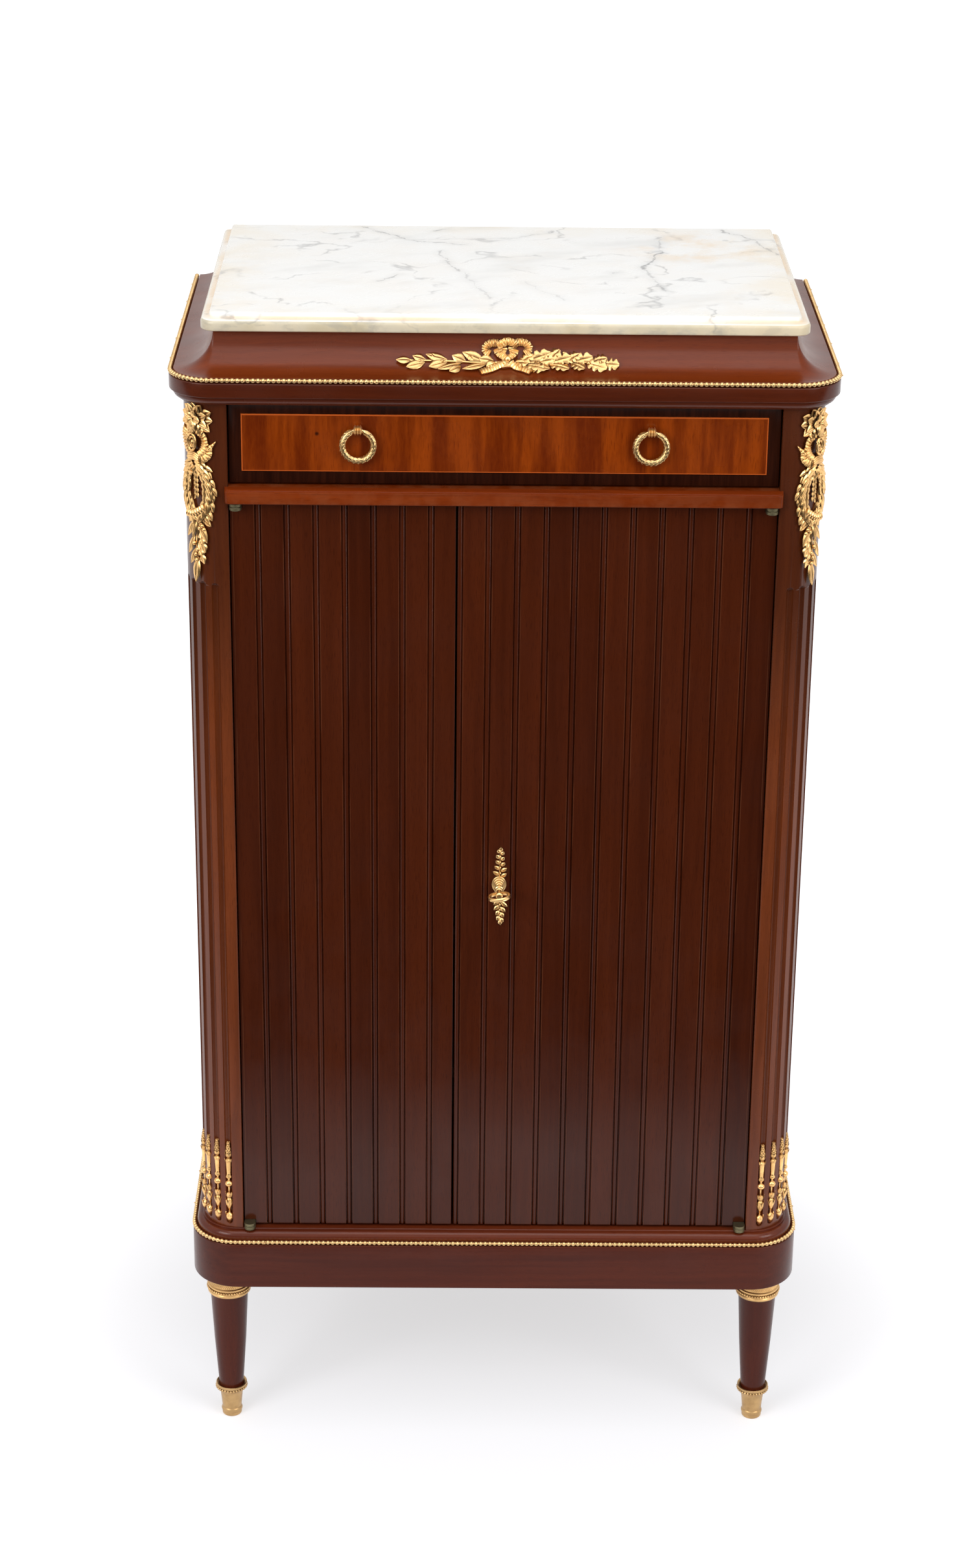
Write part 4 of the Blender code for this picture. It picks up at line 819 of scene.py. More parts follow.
def makePosts():
    foot, head = low("left_front_post").z, high("left_front_post").z
    fluteFoot, fluteTop = foot - seam + posts["foot"], head + seam - posts["top"]
    r, outer, arris, facets, rounds = (posts[key] for key in ("flute", "radius", "arris", "facets", "rounds"))
    centre = outer + r - posts["sink"]
    half = degrees(acos((outer ** 2 + centre ** 2 - r ** 2) / (2 * outer * centre)))
    angles = list(posts["plain"])
    for middle in fluteAngles():
        angles += [middle + half * sin(radians(90.0 * k / facets)) for k in range(-facets, facets + 1)]
    angles += [90.0 - angle for angle in reversed(posts["plain"])]
    quarter = [radians(90.0 * k / rounds) for k in range(rounds + 1)]
    levels = [foot, foot + posts["end"]]
    levels += [fluteFoot + r * (1 - cos(angle)) for angle in quarter]
    levels += [fluteFoot + (fluteTop - fluteFoot) * k / posts["lengths"] for k in range(1, posts["lengths"])]
    levels += [fluteTop - r * (1 - sin(angle)) for angle in quarter]
    levels += [head - posts["neck"], head - posts["end"], head]
    for side, sign in (("left", -1.0), ("right", 1.0)):
        node = side + "_front_post"
        inner, front, back = postInner, doorFace - posts["proud"], high(node).y
        axis = postAxis(1.0)
        sections = []
        for z in levels:
            outline = [(inner, back)]
            outline += [(inner + arris * x, front + arris * y) for x, y in posts["corner"]]
            for angle in angles:
                reach = postRadius(angle, z, fluteFoot, fluteTop)
                outline.append((axis.x + reach * sin(radians(angle)), axis.y - reach * cos(radians(angle))))
            outline.append((axis.x + outer, back))
            sections.append([Vector((sign * x, y, z)) for x, y in outline])
        post = finishMesh(side + "Post", skinned(sections), "postMahogany", 50.0)
        settle(post, "carcass", "mahogany", node)


# drawer rail; the nosing is set back and down by shares of its projection and height

rail = {
    "overlap": 0.0032, "round": 0.0060, "most": 0.9, "projection": 0.0095,
    "nosing": [(0.30, 1.0), (0.10, 0.975), (0.0, 0.9125), (0.0, 0.24), (0.02, 0.19), (0.10, 0.155),
               (0.16, 0.15), (0.20, 0.12), (0.30, 0.09), (0.55, 0.05), (0.80, 0.01), (0.90, 0.0)],
}


def makeRail():
    start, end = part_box("drawer_rail")
    inner, outer = postInner - seam, postInner + rail["overlap"]
    lap = start.y + rail["projection"] - seam
    sections = []
    for back, down in rail["nosing"]:
        edge = start.y + rail["projection"] * back
        z = end.z - (end.z - start.z) * down
        radius = min(rail["round"], (lap - edge) * rail["most"])
        half = [(inner, end.y), (inner, lap), (outer, lap)]
        half += arc(outer - radius, edge + radius, radius, -radius, 0.0, 90.0, 8)
        sections.append([Vector((x, y, z)) for x, y in half + [(-x, y) for x, y in reversed(half)]])
    piece = finishMesh("drawerRail", skinned(sections), "railMahogany", 30.0)
    settle(piece, "carcass", "mahogany", "drawer_rail")


# reeded doors on pivot leaves

doors = {
    "joint": 0.0072, "bead": 0.0046, "depth": 0.0024, "crown": 0.72, "bevel": 0.0022, "parting": 0.0006,
    "arris": 0.0004, "end": 0.0005, "leaf": 0.0300, "tongue": 0.0124, "notch": 0.0052, "cover": 0.0040,
    "past": 0.005, "pastSide": 0.002, "pastEnd": 0.003, "smooth": 35.0, "sunk": 0.0003,
    "ease": (0.0002, 0.0003), "floor": (0.0001, 0.0003),
}
leaves = {"knuckle": 0.0060, "arris": 0.0004, "ease": 0.0010, "steps": 12}


def doorOutline(left, right, joints, leftBevel, rightBevel, edgeBead):
    halfJoint, halfBead, depth, arris = doors["joint"] / 2, doors["bead"] / 2, doors["depth"], doors["arris"]
    groove, crown = (halfJoint + halfBead) / 2, depth * doors["crown"]
    easeIn, easeDown = doors["ease"]
    floorOut, floorIn = doors["floor"]
    slope = [(halfJoint, 0.0), (halfJoint - easeIn, easeDown), (groove + floorOut, depth),
             (groove - floorIn, depth)]

    def bead(centre):
        return arc(centre, doorFace + doors["sunk"] + crown, halfBead, -crown, 180.0, 0.0, 8)

    def fall(centre):
        return [(centre - x, doorFace + y) for x, y in slope]

    def rise(centre):
        return [(centre + x, doorFace + y) for x, y in reversed(slope)]

    points = [(left + leftBevel, doorBack)]
    if edgeBead:
        points += bead(left + halfBead) + rise(left + halfBead)
    else:
        points += [(left, doorFace + arris), (left + arris, doorFace)]
    for centre in joints:
        points += fall(centre) + bead(centre) + rise(centre)
    return points + [(right - arris, doorFace), (right, doorFace + arris), (right - rightBevel, doorBack)]


def cutBlock(piece, *spans):
    block = bmesh.new()
    size = Matrix.Diagonal([end - start for start, end in spans] + [1.0])
    middle = Matrix.Translation([(start + end) / 2 for start, end in spans])
    bmesh.ops.create_cube(block, size=1.0, matrix=middle @ size)
    cutter = finishMesh("cutter", block, "doorMahogany")
    cut = piece.modifiers.new("cut", "BOOLEAN")
    cut.operation = "DIFFERENCE"
    cut.solver = "EXACT"
    cut.object = cutter
    mesh = freeze(piece)
    piece.modifiers.remove(cut)
    bpy.data.objects.remove(cutter, do_unlink=True)
    mesh.set_sharp_from_angle(angle=radians(doors["smooth"]))
    piece.data = mesh


def makeDoors():
    bevel, end, notch, past = (doors[key] for key in ("bevel", "end", "notch", "past"))
    cuts = ((doors["leaf"], doorFace + doors["cover"]), (doors["tongue"], doorFace - past))
    plans = (("left", -1.0, "narrow_door", doors["parting"], range(1, 8), (0.0, bevel, False)),
             ("right", 1.0, "wide_door", 0.0, range(9, 19), (bevel, 0.0, True)))
    for side, sign, body, parting, counts, edges in plans:
        start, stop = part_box(side + "_door")
        joints = [slats["start"] + slats["pitch"] * k for k in counts]
        plan = doorOutline(start.x, stop.x - parting, joints, *edges)
        levels = ((start.z, end), (start.z + end, 0.0), (stop.z - end, 0.0), (stop.z, end))
        sections = [[Vector((x, min(y + inset, doorBack), z)) for x, y in plan] for z, inset in levels]
        door = finishMesh(side + "Door", skinned(sections), "doorMahogany", doors["smooth"])
        outer = max(abs(start.x), abs(stop.x))
        lowest, highest = start.z - doors["pastEnd"], stop.z + doors["pastEnd"]
        for heights in ((lowest, start.z + notch), (stop.z - notch, highest)):
            for reach, front in cuts:
                widths = sorted((sign * (outer - reach), sign * (outer + doors["pastSide"])))
                cutBlock(door, widths, (front, doorBack + past), heights)
        settle(door, body, "dark_mahogany", side + "_door")


def makeLeaf(node, thick, fromTop, sign, body):
    start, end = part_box(node)
    foot = end.z - thick if fromTop else start.z
    r, arris = leaves["knuckle"], leaves["arris"]
    outer = max(abs(start.x), abs(end.x))
    inner, front = outer - doors["leaf"] + leaves["ease"], doorFace + doors["cover"] + seam
    sections = []
    for inset, z in ((arris, 0.0), (0.0, arris), (0.0, thick - arris), (arris, thick)):
        outline = [(inner + inset, end.y), (inner + inset, front + inset),
                   (outer - 2 * r + inset, front + inset)]
        outline += arc(outer - r, start.y + r, r - inset, r - inset, 180.0, 360.0, leaves["steps"])
        outline.append((outer - inset, end.y))
        sections.append([Vector((sign * x, y, foot + z)) for x, y in outline])
    first, *others = node.split("_")
    name = first + "".join(word.capitalize() for word in others)
    settle(finishMesh(name, skinned(sections), "dullBrass", 30.0), body, "brass", node)


def makeLeaves():
    for end in ("upper", "lower"):
        for side, sign, body in (("left", -1.0, "narrow_door"), ("right", 1.0, "wide_door")):
            moving = end + "_" + side + "_door_leaf"
            thick = high(moving).z - low(moving).z
            makeLeaf(moving, thick, False, sign, body)
            makeLeaf(end + "_" + side + "_pivot", thick, end == "upper", sign, "carcass")


# drawer front with its veneered panel

drawer = {
    "border": 0.0125, "borderTop": 0.0100, "proud": 0.0015, "round": 0.0010, "wall": 0.0001,
    "ease": 0.0006, "curve": 0.3, "lap": 0.004,
}


def makeDrawerFront():
    start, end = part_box("drawer_front")
    face, border, r, ease = start.y, start.y + drawer["proud"], drawer["round"], drawer["ease"]
    curve = r * drawer["curve"]
    rows = [(0.0, 0.0, end.y), (0.0, 0.0, border + r), (curve, curve, border + curve), (r, r, border)]
    steps = ((0.0, border), (drawer["wall"], face + ease), (ease, face), (drawer["lap"], face))
    rows += [(drawer["border"] + inset, drawer["borderTop"] + inset, y) for inset, y in steps]
    sections = []
    for side, upper, y in rows:
        x, z0, z1 = end.x - side, start.z + side, end.z - upper
        sections.append([Vector((-x, y, z0)), Vector((x, y, z0)), Vector((x, y, z1)), Vector((-x, y, z1))])
    piece = finishMesh("drawerFront", skinned(sections), "drawerVeneer", 30.0)
    settle(piece, "drawer_box", "figured_mahogany", "drawer_front")


# turned legs; collar: mm in from the full radius, share of the height
# shoe: radius, and mm down from its top or up from the floor

legs = {
    "top": 0.0210, "foot": 0.0135, "collar": 0.0260, "end": 0.001, "taper": 0.0004, "inShoe": 0.004,
    "swell": 0.0003, "sides": 64, "collarHead": [(1.2, 1.0), (0.0, 0.96), (0.0, 0.90), (0.6, 0.86)],
    "hollow": 0.0026, "hollowIn": 0.0008, "hollowTop": 0.86, "hollowTall": 0.40, "hollowSteps": 12,
    "collarFoot": [(2.8, 0.44), (2.2, 0.42), (2.2, 0.36), (3.0, 0.34), (3.0, 0.16), (2.4, 0.13),
                   (2.4, 0.05), (3.4, 0.0)],
    "shoeHead": [(0.0, 4.5), (13.0, 4.5), (13.0, 2.2), (14.4, 0.8), (16.4, 0.0), (17.1, 0.4),
                 (17.2, 2.6), (16.3, 3.2), (16.0, 5.8), (15.0, 6.6), (13.6, 8.0), (12.6, 11.0),
                 (12.0, 16.0), (11.3, 23.0)],
    "shoeFoot": [(10.7, 10.2), (10.5, 9.3), (11.1, 8.4), (11.7, 6.6), (11.4, 5.0), (10.7, 4.2),
                 (10.9, 3.0), (10.8, 0.8), (10.2, 0.0), (0.0, 0.0)],
}
knurls = {
    "count": 64, "depth": 0.00035, "from": 0.47, "to": 0.85, "middle": 0.66, "lean": 36.0, "steps": 256,
}
collarBeads = {
    "pitch": 0.0030, "radius": 0.00155, "length": 0.95, "segments": 8, "inset": 0.0026, "share": 0.25,
}
shoeBeads = {
    "pitch": 0.0033, "radius": 0.00175, "length": 0.95, "segments": 8, "ring": 0.0163, "below": 0.0045,
}


def addBeadRing(shape, centre, radius, z, settings, finish):
    path = [Vector((centre.x + radius * x, centre.y + radius * y, z)) for x, y in circle(96)]
    shape.from_mesh(beadMesh(path, settings, finish, True))


def makeLeg(name, piece):
    start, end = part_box(name + "_leg")
    collarLow, collarHigh = low(name + "_collar").z, high(name + "_collar").z
    shoeTop = high(name + "_sabot").z
    centre = (start + end) / 2
    place = Matrix.Translation((centre.x, centre.y, 0.0))
    top, foot, inShoe = legs["top"], legs["foot"], shoeTop - legs["inShoe"]
    shape = bmesh.new()
    turn(shape, [(0.0, end.z), (top, end.z), (top, collarLow + legs["end"]),
                 (top - legs["taper"], collarLow - legs["end"]),
                 ((top + foot) / 2 + legs["swell"], (collarLow + shoeTop) / 2), (foot, shoeTop + seam),
                 (foot - seam, inShoe), (0.0, inShoe)], place, legs["sides"])
    settle(finishMesh(piece + "Leg", shape, "legMahogany"), "carcass", "mahogany", name + "_leg")

    tall, full, bore = collarHigh - collarLow, legs["collar"], top + seam
    steps = legs["hollowSteps"]
    band = [(full - inset * mm, share) for inset, share in legs["collarHead"]]
    band += [(full - legs["hollowIn"] - legs["hollow"] * sin(radians(90.0 * k / steps)),
              legs["hollowTop"] - legs["hollowTall"] * k / steps) for k in range(1, steps + 1)]
    band += [(full - inset * mm, share) for inset, share in legs["collarFoot"]]
    band = [(bore, 1.0)] + band + [(bore, 0.0)]

    def knurl(angle, z, radius):
        share = (z - collarLow) / tall
        if radius <= bore or not knurls["from"] < share < knurls["to"]:
            return 0.0
        return knurls["depth"] * sin(knurls["count"] * angle + knurls["lean"] * abs(share - knurls["middle"]))

    shape = bmesh.new()
    band = [(radius, collarLow + tall * share) for radius, share in band]
    turn(shape, band, place, knurls["steps"], True, knurl)
    beadHeight = collarLow + tall * collarBeads["share"]
    addBeadRing(shape, centre, full - collarBeads["inset"], beadHeight, collarBeads, "giltBronze")
    gild(piece + "Collar", shape, "giltBronze", 38.0, name + "_collar")

    profile = [(radius * mm, shoeTop - down * mm) for radius, down in legs["shoeHead"]]
    profile += [(radius * mm, up * mm) for radius, up in legs["shoeFoot"]]
    shape = bmesh.new()
    turn(shape, profile, place, legs["sides"])
    addBeadRing(shape, centre, shoeBeads["ring"], shoeTop - shoeBeads["below"], shoeBeads, "giltShoe")
    gild(piece + "Shoe", shape, "giltShoe", 38.0, name + "_sabot")


makeMarbleTop()
makeCove()
makeCornice()
makeBase()
makeBeads("corniceBeads", "cornice_bead", "cornice", cornice["corner"])
makeBeads("plinthBeads", "plinth_bead", "plinth", base["corner"])
makePosts()
makeRail()
makeDoors()
makeLeaves()
makeDrawerFront()
for row in ("front", "rear"):
    for side in ("left", "right"):
        makeLeg(row + "_" + side, row + side.capitalize())
print("joinery and legs made")


# chased leaves and petals, one unit long: share along, half width, lift

leafForms = {
    "laurel": [(0.0, 0.06, 0.0), (0.12, 0.22, 0.06), (0.30, 0.42, 0.14), (0.50, 0.50, 0.18),
               (0.70, 0.42, 0.20), (0.86, 0.24, 0.24), (1.0, 0.03, 0.30)],
    "oak": [(0.0, 0.06, 0.0), (0.08, 0.14, 0.05), (0.17, 0.40, 0.10), (0.25, 0.44, 0.12),
            (0.33, 0.22, 0.14), (0.43, 0.50, 0.17), (0.53, 0.53, 0.18), (0.61, 0.26, 0.20),
            (0.71, 0.43, 0.22), (0.81, 0.45, 0.24), (0.90, 0.24, 0.27), (1.0, 0.10, 0.30)],
    "petal": [(0.0, 0.12, 0.0), (0.20, 0.34, 0.10), (0.45, 0.50, 0.22), (0.70, 0.45, 0.36),
              (0.88, 0.25, 0.48), (1.0, 0.03, 0.56)],
}
# across a leaf: share of the half width, share of the swell
leafSection = [(-1.0, 0.0), (-0.55, 0.24), (-0.14, 0.22), (0.0, 0.08), (0.14, 0.22), (0.55, 0.24), (1.0, 0.0)]
leafBody = {"tip": 0.06, "thick": 0.16, "under": (0.5, -0.5)}


def makeLeafForm(name, rows):
    sections = []
    for share, half, lift in rows:
        swell = sin(pi * min(max(share, leafBody["tip"]), 1.0 - leafBody["tip"]))
        section = [Vector((half * x, share, lift + swell * z)) for x, z in leafSection]
        section += [Vector((half * x, share, lift - leafBody["thick"])) for x in leafBody["under"]]
        sections.append(section)
    return finishMesh(name + "Form", skinned(sections), "giltBronze")


def makeBerryForm():
    shape = bmesh.new()
    ball(shape, 0.5, Matrix(), 8, 6)
    return finishMesh("berryForm", shape, "giltBronze")


leafObjects.update({name: makeLeafForm(name, rows) for name, rows in leafForms.items()})
leafObjects["berry"] = makeBerryForm()


# a spot function gives the point and normal on a surface, for two places along it and a lift; sizes in mm

def leafPlace(spot, start, end, width, height, lift, tipLift, roll=0.0):
    foot, footNormal = spot(*start, lift)
    tip, tipNormal = spot(*end, tipLift)
    along = tip - foot
    length = along.length
    along.normalize()
    normal = footNormal + tipNormal
    normal = Matrix.Rotation(roll, 3, along) @ (normal - along * normal.dot(along)).normalized()
    facing = Matrix((along.cross(normal), along, normal)).transposed().to_4x4()
    return Matrix.Translation(foot) @ facing @ Matrix.Diagonal((width * mm, length, height * mm, 1.0))


# a small change from one leaf to the next
def uneven(index, amount, shift=0.0):
    return 1.0 + amount * sin(index * 2.4 + shift)


def berryPlace(spot, across, along, lift, size):
    return Matrix.Translation(spot(across, along, lift)[0]) @ Matrix.Scale(size * mm, 4)


def smoothPath(points, steps):
    spread = []
    ends = [points[0], *points, points[-1]]
    for index in range(len(points) - 1):
        a, b, c, d = (Vector(ends[index + k]) for k in range(4))
        for t in (step / steps for step in range(steps)):
            spread.append(0.5 * (2 * b + (c - a) * t + (2 * a - 5 * b + 4 * c - d) * t * t
                                 + (3 * b - a - 3 * c + d) * t * t * t))
    return spread + [Vector(points[-1])]


folds = {
    "thick": 1.2, "crown": 0.9, "spread": 0.07, "across": (-0.5, -0.3, -0.1, 0.1, 0.3, 0.5), "steps": 18,
}


def ribbon(shape, spot, points, width, lift, pleat, every, taper=1.0):
    spots = [spot(*point, lift) for point in smoothPath(points, folds["steps"])]
    last = len(spots) - 1
    gone = 0.0
    sections = []
    for index, (place, normal) in enumerate(spots):
        before, after = spots[max(index - 1, 0)][0], spots[min(index + 1, last)][0]
        side = (after - before).normalized().cross(normal).normalized()
        gone += (place - before).length
        fold = cos(2 * pi * gone / (every * mm)) if pleat else 0.0
        side *= width * mm * (1 + (taper - 1) * index / last) * (1 + folds["spread"] * fold)
        normal = normal * mm
        section = []
        for k in folds["across"]:
            rise = pleat * fold * (1 - abs(k)) + folds["crown"] * (1 - 4 * k * k)
            section.append(place + side * k + normal * rise)
        sections.append(section + [place + side * k - normal * folds["thick"] for k in (0.5, -0.5)])
    skin(shape, sections)


def stem(shape, spot, points, radius, lift):
    wire(shape, [spot(*point, lift)[0] for point in smoothPath(points, 5)], radius * mm, 6)


def addSprays(shape, sprays, finish):
    for kind, places in sprays.items():
        shape.from_mesh(sprayMesh(kind, places, finish))


# frieze mount: a ribbon bow between laurel and oak; leaves from x and share of the cove to x and share
# ribbons: route, share of the band's width, lift, taper

frieze = {
    "laurel": [(-21, 0.49, -42, 0.64), (-18, 0.44, -42, 0.29), (-39, 0.48, -52, 0.58),
               (-44, 0.44, -66, 0.28), (-44, 0.39, -55, 0.23), (-57, 0.51, -78, 0.59),
               (-57, 0.48, -75, 0.35), (-78, 0.51, -91, 0.56), (-79, 0.46, -97, 0.34),
               (-92, 0.50, -107, 0.48), (-9, 0.46, -19, 0.36), (-30, 0.50, -36, 0.60),
               (-12, 0.50, -26, 0.52), (-66, 0.50, -72, 0.60)],
    "oak": [(14, 0.46, 27, 0.60), (20, 0.49, 44, 0.64), (17, 0.42, 43, 0.32), (25, 0.43, 37, 0.29),
            (41, 0.50, 53, 0.69), (44, 0.48, 64, 0.57), (43, 0.43, 62, 0.32), (64, 0.49, 85, 0.57),
            (64, 0.46, 77, 0.32), (79, 0.48, 99, 0.34), (85, 0.50, 99, 0.55), (95, 0.46, 111, 0.42),
            (8, 0.47, 22, 0.44), (33, 0.48, 48, 0.52), (60, 0.50, 72, 0.62)],
    "widths": {"laurel": 10.4, "oak": 13.0}, "height": 5.0, "lift": 1.2, "tipLift": 1.6,
    "rolls": (-12.0, 14.0),
    "berries": [(35, 0.60), (57, 0.64), (81, 0.45), (107, 0.47), (-62, 0.47), (-84, 0.47)],
    "berryLift": 2.2, "berry": 4.0, "stem": 1.1, "stemLift": 0.9,
    "stems": [[(2, 0.47), (-25, 0.46), (-50, 0.48), (-75, 0.49), (-98, 0.49)],
              [(2, 0.47), (25, 0.46), (50, 0.48), (75, 0.48), (104, 0.45)]],
    "band": 7.4, "pleat": 0.85, "every": 3.0, "knot": (2.2, 0.505, 4.0), "knotRadius": 3.4,
    "ribbons": [(arc(-11.0, 0.70, 8.6, 0.105, -52.0, 240.0, 12), 1.0, 3.4, 1.0),
                (arc(14.6, 0.715, 8.0, 0.110, 232.0, -60.0, 12), 1.0, 3.4, 1.0),
                ([(-8, 0.74), (-3, 0.80), (2, 0.835), (8, 0.80), (10, 0.76)], 1.0, 5.2, 1.0),
                ([(-8, 0.70), (-6, 0.62), (-1, 0.54), (2, 0.50)], 1.25, 4.4, 0.6),
                ([(9, 0.68), (8, 0.61), (5, 0.55), (2, 0.50)], 1.1, 4.6, 0.6),
                ([(-1, 0.45), (-9, 0.37), (-16, 0.30), (-25, 0.24)], 1.0, 2.6, 1.15),
                ([(5, 0.45), (11, 0.36), (17, 0.33), (25, 0.25)], 1.0, 2.6, 1.15),
                ([(0.5, 0.50), (0.5, 0.42), (1.0, 0.34)], 1.0, 2.6, 1.15)],
}


def coveSpot(x, share, lift):
    start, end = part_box("cove_frieze")
    foot, depth = start.z - seam + cove["lip"], cove["depth"]
    rise = end.z - foot
    angle = radians(90.0 * share)
    normal = Vector((0.0, -rise * sin(angle), depth * cos(angle))).normalized()
    place = Vector((x * mm, start.y + depth * sin(angle), foot + rise * (1 - cos(angle))))
    return place + normal * lift * mm, normal


def makeFriezeMount():
    sprays = {}
    for kind, width in frieze["widths"].items():
        sprays[kind] = [leafPlace(coveSpot, (x0, s0), (x1, s1), width, frieze["height"], frieze["lift"],
                                  frieze["tipLift"], radians(frieze["rolls"][index % 2]))
                        for index, (x0, s0, x1, s1) in enumerate(frieze[kind])]
    sprays["berry"] = [berryPlace(coveSpot, x, share, frieze["berryLift"], frieze["berry"])
                       for x, share in frieze["berries"]]
    shape = bmesh.new()
    addSprays(shape, sprays, "giltBronze")
    for points in frieze["stems"]:
        stem(shape, coveSpot, points, frieze["stem"], frieze["stemLift"])
    gild("friezeMount", shape, "giltBronze", 45.0, "frieze_mount")

    shape = bmesh.new()
    for points, share, lift, taper in frieze["ribbons"]:
        ribbon(shape, coveSpot, points, frieze["band"] * share, lift, frieze["pleat"], frieze["every"], taper)
    ball(shape, frieze["knotRadius"] * mm, Matrix.Translation(coveSpot(*frieze["knot"])[0]))
    # the bow takes a brighter copy of the gilt, painted light where it reflects dark surroundings
    gild("friezeBow", shape, "giltBow", 45.0)


# corner mounts: flower, ribbon bow, wreath and pendant leaves, in mm across the post and down from its head
# petals: count, inner and outer reach, width, height, lift, tip lift
# leaves: outward, forward, lift, tip lift
# ribbons: route, width, lift, pleat, pleat length, taper; stems: route, radius, lift

corner = {
    "turns": {"left": 40.0, "right": 45.5}, "lean": 0.012, "below": 0.0009, "flower": (0.0, 16.5),
    "upward": 16.0,
    "petals": [(11, 4.0, 20.5, 10.4, 4.2, 1.2, 2.2), (8, 2.5, 15.5, 9.6, 4.6, 3.0, 4.4),
               (5, 0.8, 9.5, 8.0, 4.6, 5.2, 6.4)],
    "bud": [(-4.0, 28.0), (4.0, 28.0), (0.0, 31.0), (-2.0, 30.0), (2.0, 30.0)],
    "budForm": (5.2, 4.4, 7.0, 5.6),
    "branches": [[(-2, 63), (-8.5, 70), (-13, 82), (-14, 95), (-11, 107), (-4, 119)],
                 [(2, 63), (8, 70), (12, 82), (12.5, 95), (9, 107), (2, 118)]],
    "rows": 9, "leaves": [(7.6, 10.5, 1.4, 2.4), (2.4, 14.0, 3.4, 4.2), (-4.4, 12.0, 1.6, 2.6)],
    "leafForm": (7.0, 4.4), "branchStem": (4.0, 0.6),
    "strand": [(-0.2, 67), (-0.5, 72), (-0.5, 77), (-0.6, 82), (-0.8, 87), (-1, 92)], "husk": (2.6, 7.0),
    "huskForm": (3.4, 3.4, 0.8, 1.8), "pendantForm": (5.2, 1.4, 3.0),
    "laurel": [(-3, 121, -14, 143, 8.5), (0, 120, 3, 140, 6.5), (3, 122, 10, 140, 7.0),
               (3, 138, 9, 158, 7.5), (0, 150, 6, 168, 7.5), (-1, 160, -0.5, 186, 10.5),
               (-8, 118, -18, 125, 7.0), (-12, 108, -19, 119, 7.0), (-9, 112, -16, 122, 6.5)],
    "oak": [(-4, 133, -12, 153, 9.5), (-2, 145, -11, 165, 9.0)],
    "berries": [(-8, 126), (-5, 129), (-10, 129.5), (2, 146), (-2, 152), (0, 157), (-1, 163), (-13, 112),
                (-10, 114)],
    "berryForm": (3.0, 4.6),
    "ribbons": [([(-3, 29), (-10, 33), (-11.5, 42), (-8, 50), (-2, 55)], 6.6, 3.4, 0.8, 3.0, 1.0),
                ([(3, 29), (9.5, 33), (11.5, 42), (8.5, 50), (2, 55)], 6.6, 3.4, 0.8, 3.0, 1.0),
                ([(12, 27), (16, 34), (15, 43), (9, 51), (3, 56)], 6.6, 3.4, 0.8, 3.0, 1.0),
                ([(-3, 57), (-9, 57), (-15, 51), (-15, 43)], 7.8, 3.2, 0.9, 3.4, 1.0),
                ([(-15, 45), (-12.5, 39), (-11, 32)], 6.0, 3.2, 0.7, 3.4, 0.15),
                ([(-15, 46), (-18.5, 42), (-22.5, 37)], 6.0, 3.2, 0.7, 3.4, 0.15),
                ([(10, 116), (3, 115), (-5, 110.5), (-12, 105)], 6.6, 5.4, 0.5, 3.6, 1.0),
                ([(-7, 121), (0, 118), (8, 112)], 4.2, 4.6, 0.5, 3.6, 1.0)],
    "stems": [([(-1, 60), (-6, 64), (-9, 69), (-6.5, 73), (-4, 70)], 1.7, 3.2),
              ([(2, 61), (6, 65), (8, 70), (6, 73.5), (4, 71)], 1.7, 3.2),
              ([(0, 116), (-1, 132), (0, 150), (-1, 170)], 1.7, 1.0)],
    "wraps": 5, "wrapStep": 1.7, "wrap": [(-6.0, 57.3), (0.5, 54.3), (7.0, 56.1)],
    "wrapForm": (2.4, 5.8, 0.7), "scroll": (1.5, 40.0, 4.6, 8.6),
    "scrollRings": ((1.0, 5.6), (0.62, 4.8)), "scrollWire": 0.0014, "knob": (1.0, 4.0),
    "knobSize": (0.0040, 0.0040, 0.0070, 1.0),
}


def postSpot(sign, turned):
    axis = postAxis(sign, high("left_front_post").z - corner["below"])

    def spot(across, drop, lift):
        angle = radians(turned) + (across + drop * corner["lean"]) * mm / posts["radius"]
        normal = Vector((sign * sin(angle), -cos(angle), 0.0))
        return axis + normal * (posts["radius"] + lift * mm) - Vector((0.0, 0.0, drop * mm)), normal

    return spot


def flowerPlaces(spot):
    places = []
    across, drop = corner["flower"]
    for count, inner, outer, *form in corner["petals"]:
        for index in range(count):
            angle = 2 * pi * (index + 0.5) / count
            reach = outer * uneven(index, 0.06)
            tall = min(reach, corner["upward"]) if sin(angle) < 0 else reach
            start = (across + inner * cos(angle), drop + inner * sin(angle))
            end = (across + reach * cos(angle), drop + tall * sin(angle))
            places.append(leafPlace(spot, start, end, *form))
    return places + [leafPlace(spot, (across, drop + 1.0), end, *corner["budForm"]) for end in corner["bud"]]


def branchPlaces(spot, branch):
    places = []
    path = smoothPath(branch, 10)
    way = -1.0 if branch[2][0] < 0 else 1.0
    for index in range(corner["rows"]):
        at = int(index * (len(path) - 2) / corner["rows"])
        here = path[at]
        along = (path[at + 2] - here).normalized()
        outward = Vector((along.y, -along.x))
        if outward.x * way < 0:
            outward = -outward
        vary = uneven(index, 0.15, way)
        for spread, forward, *lifts in corner["leaves"]:
            end = here + (along * forward + outward * spread) * vary
            places.append(leafPlace(spot, here + outward * spread * 0.25, end, *corner["leafForm"], *lifts))
    return places


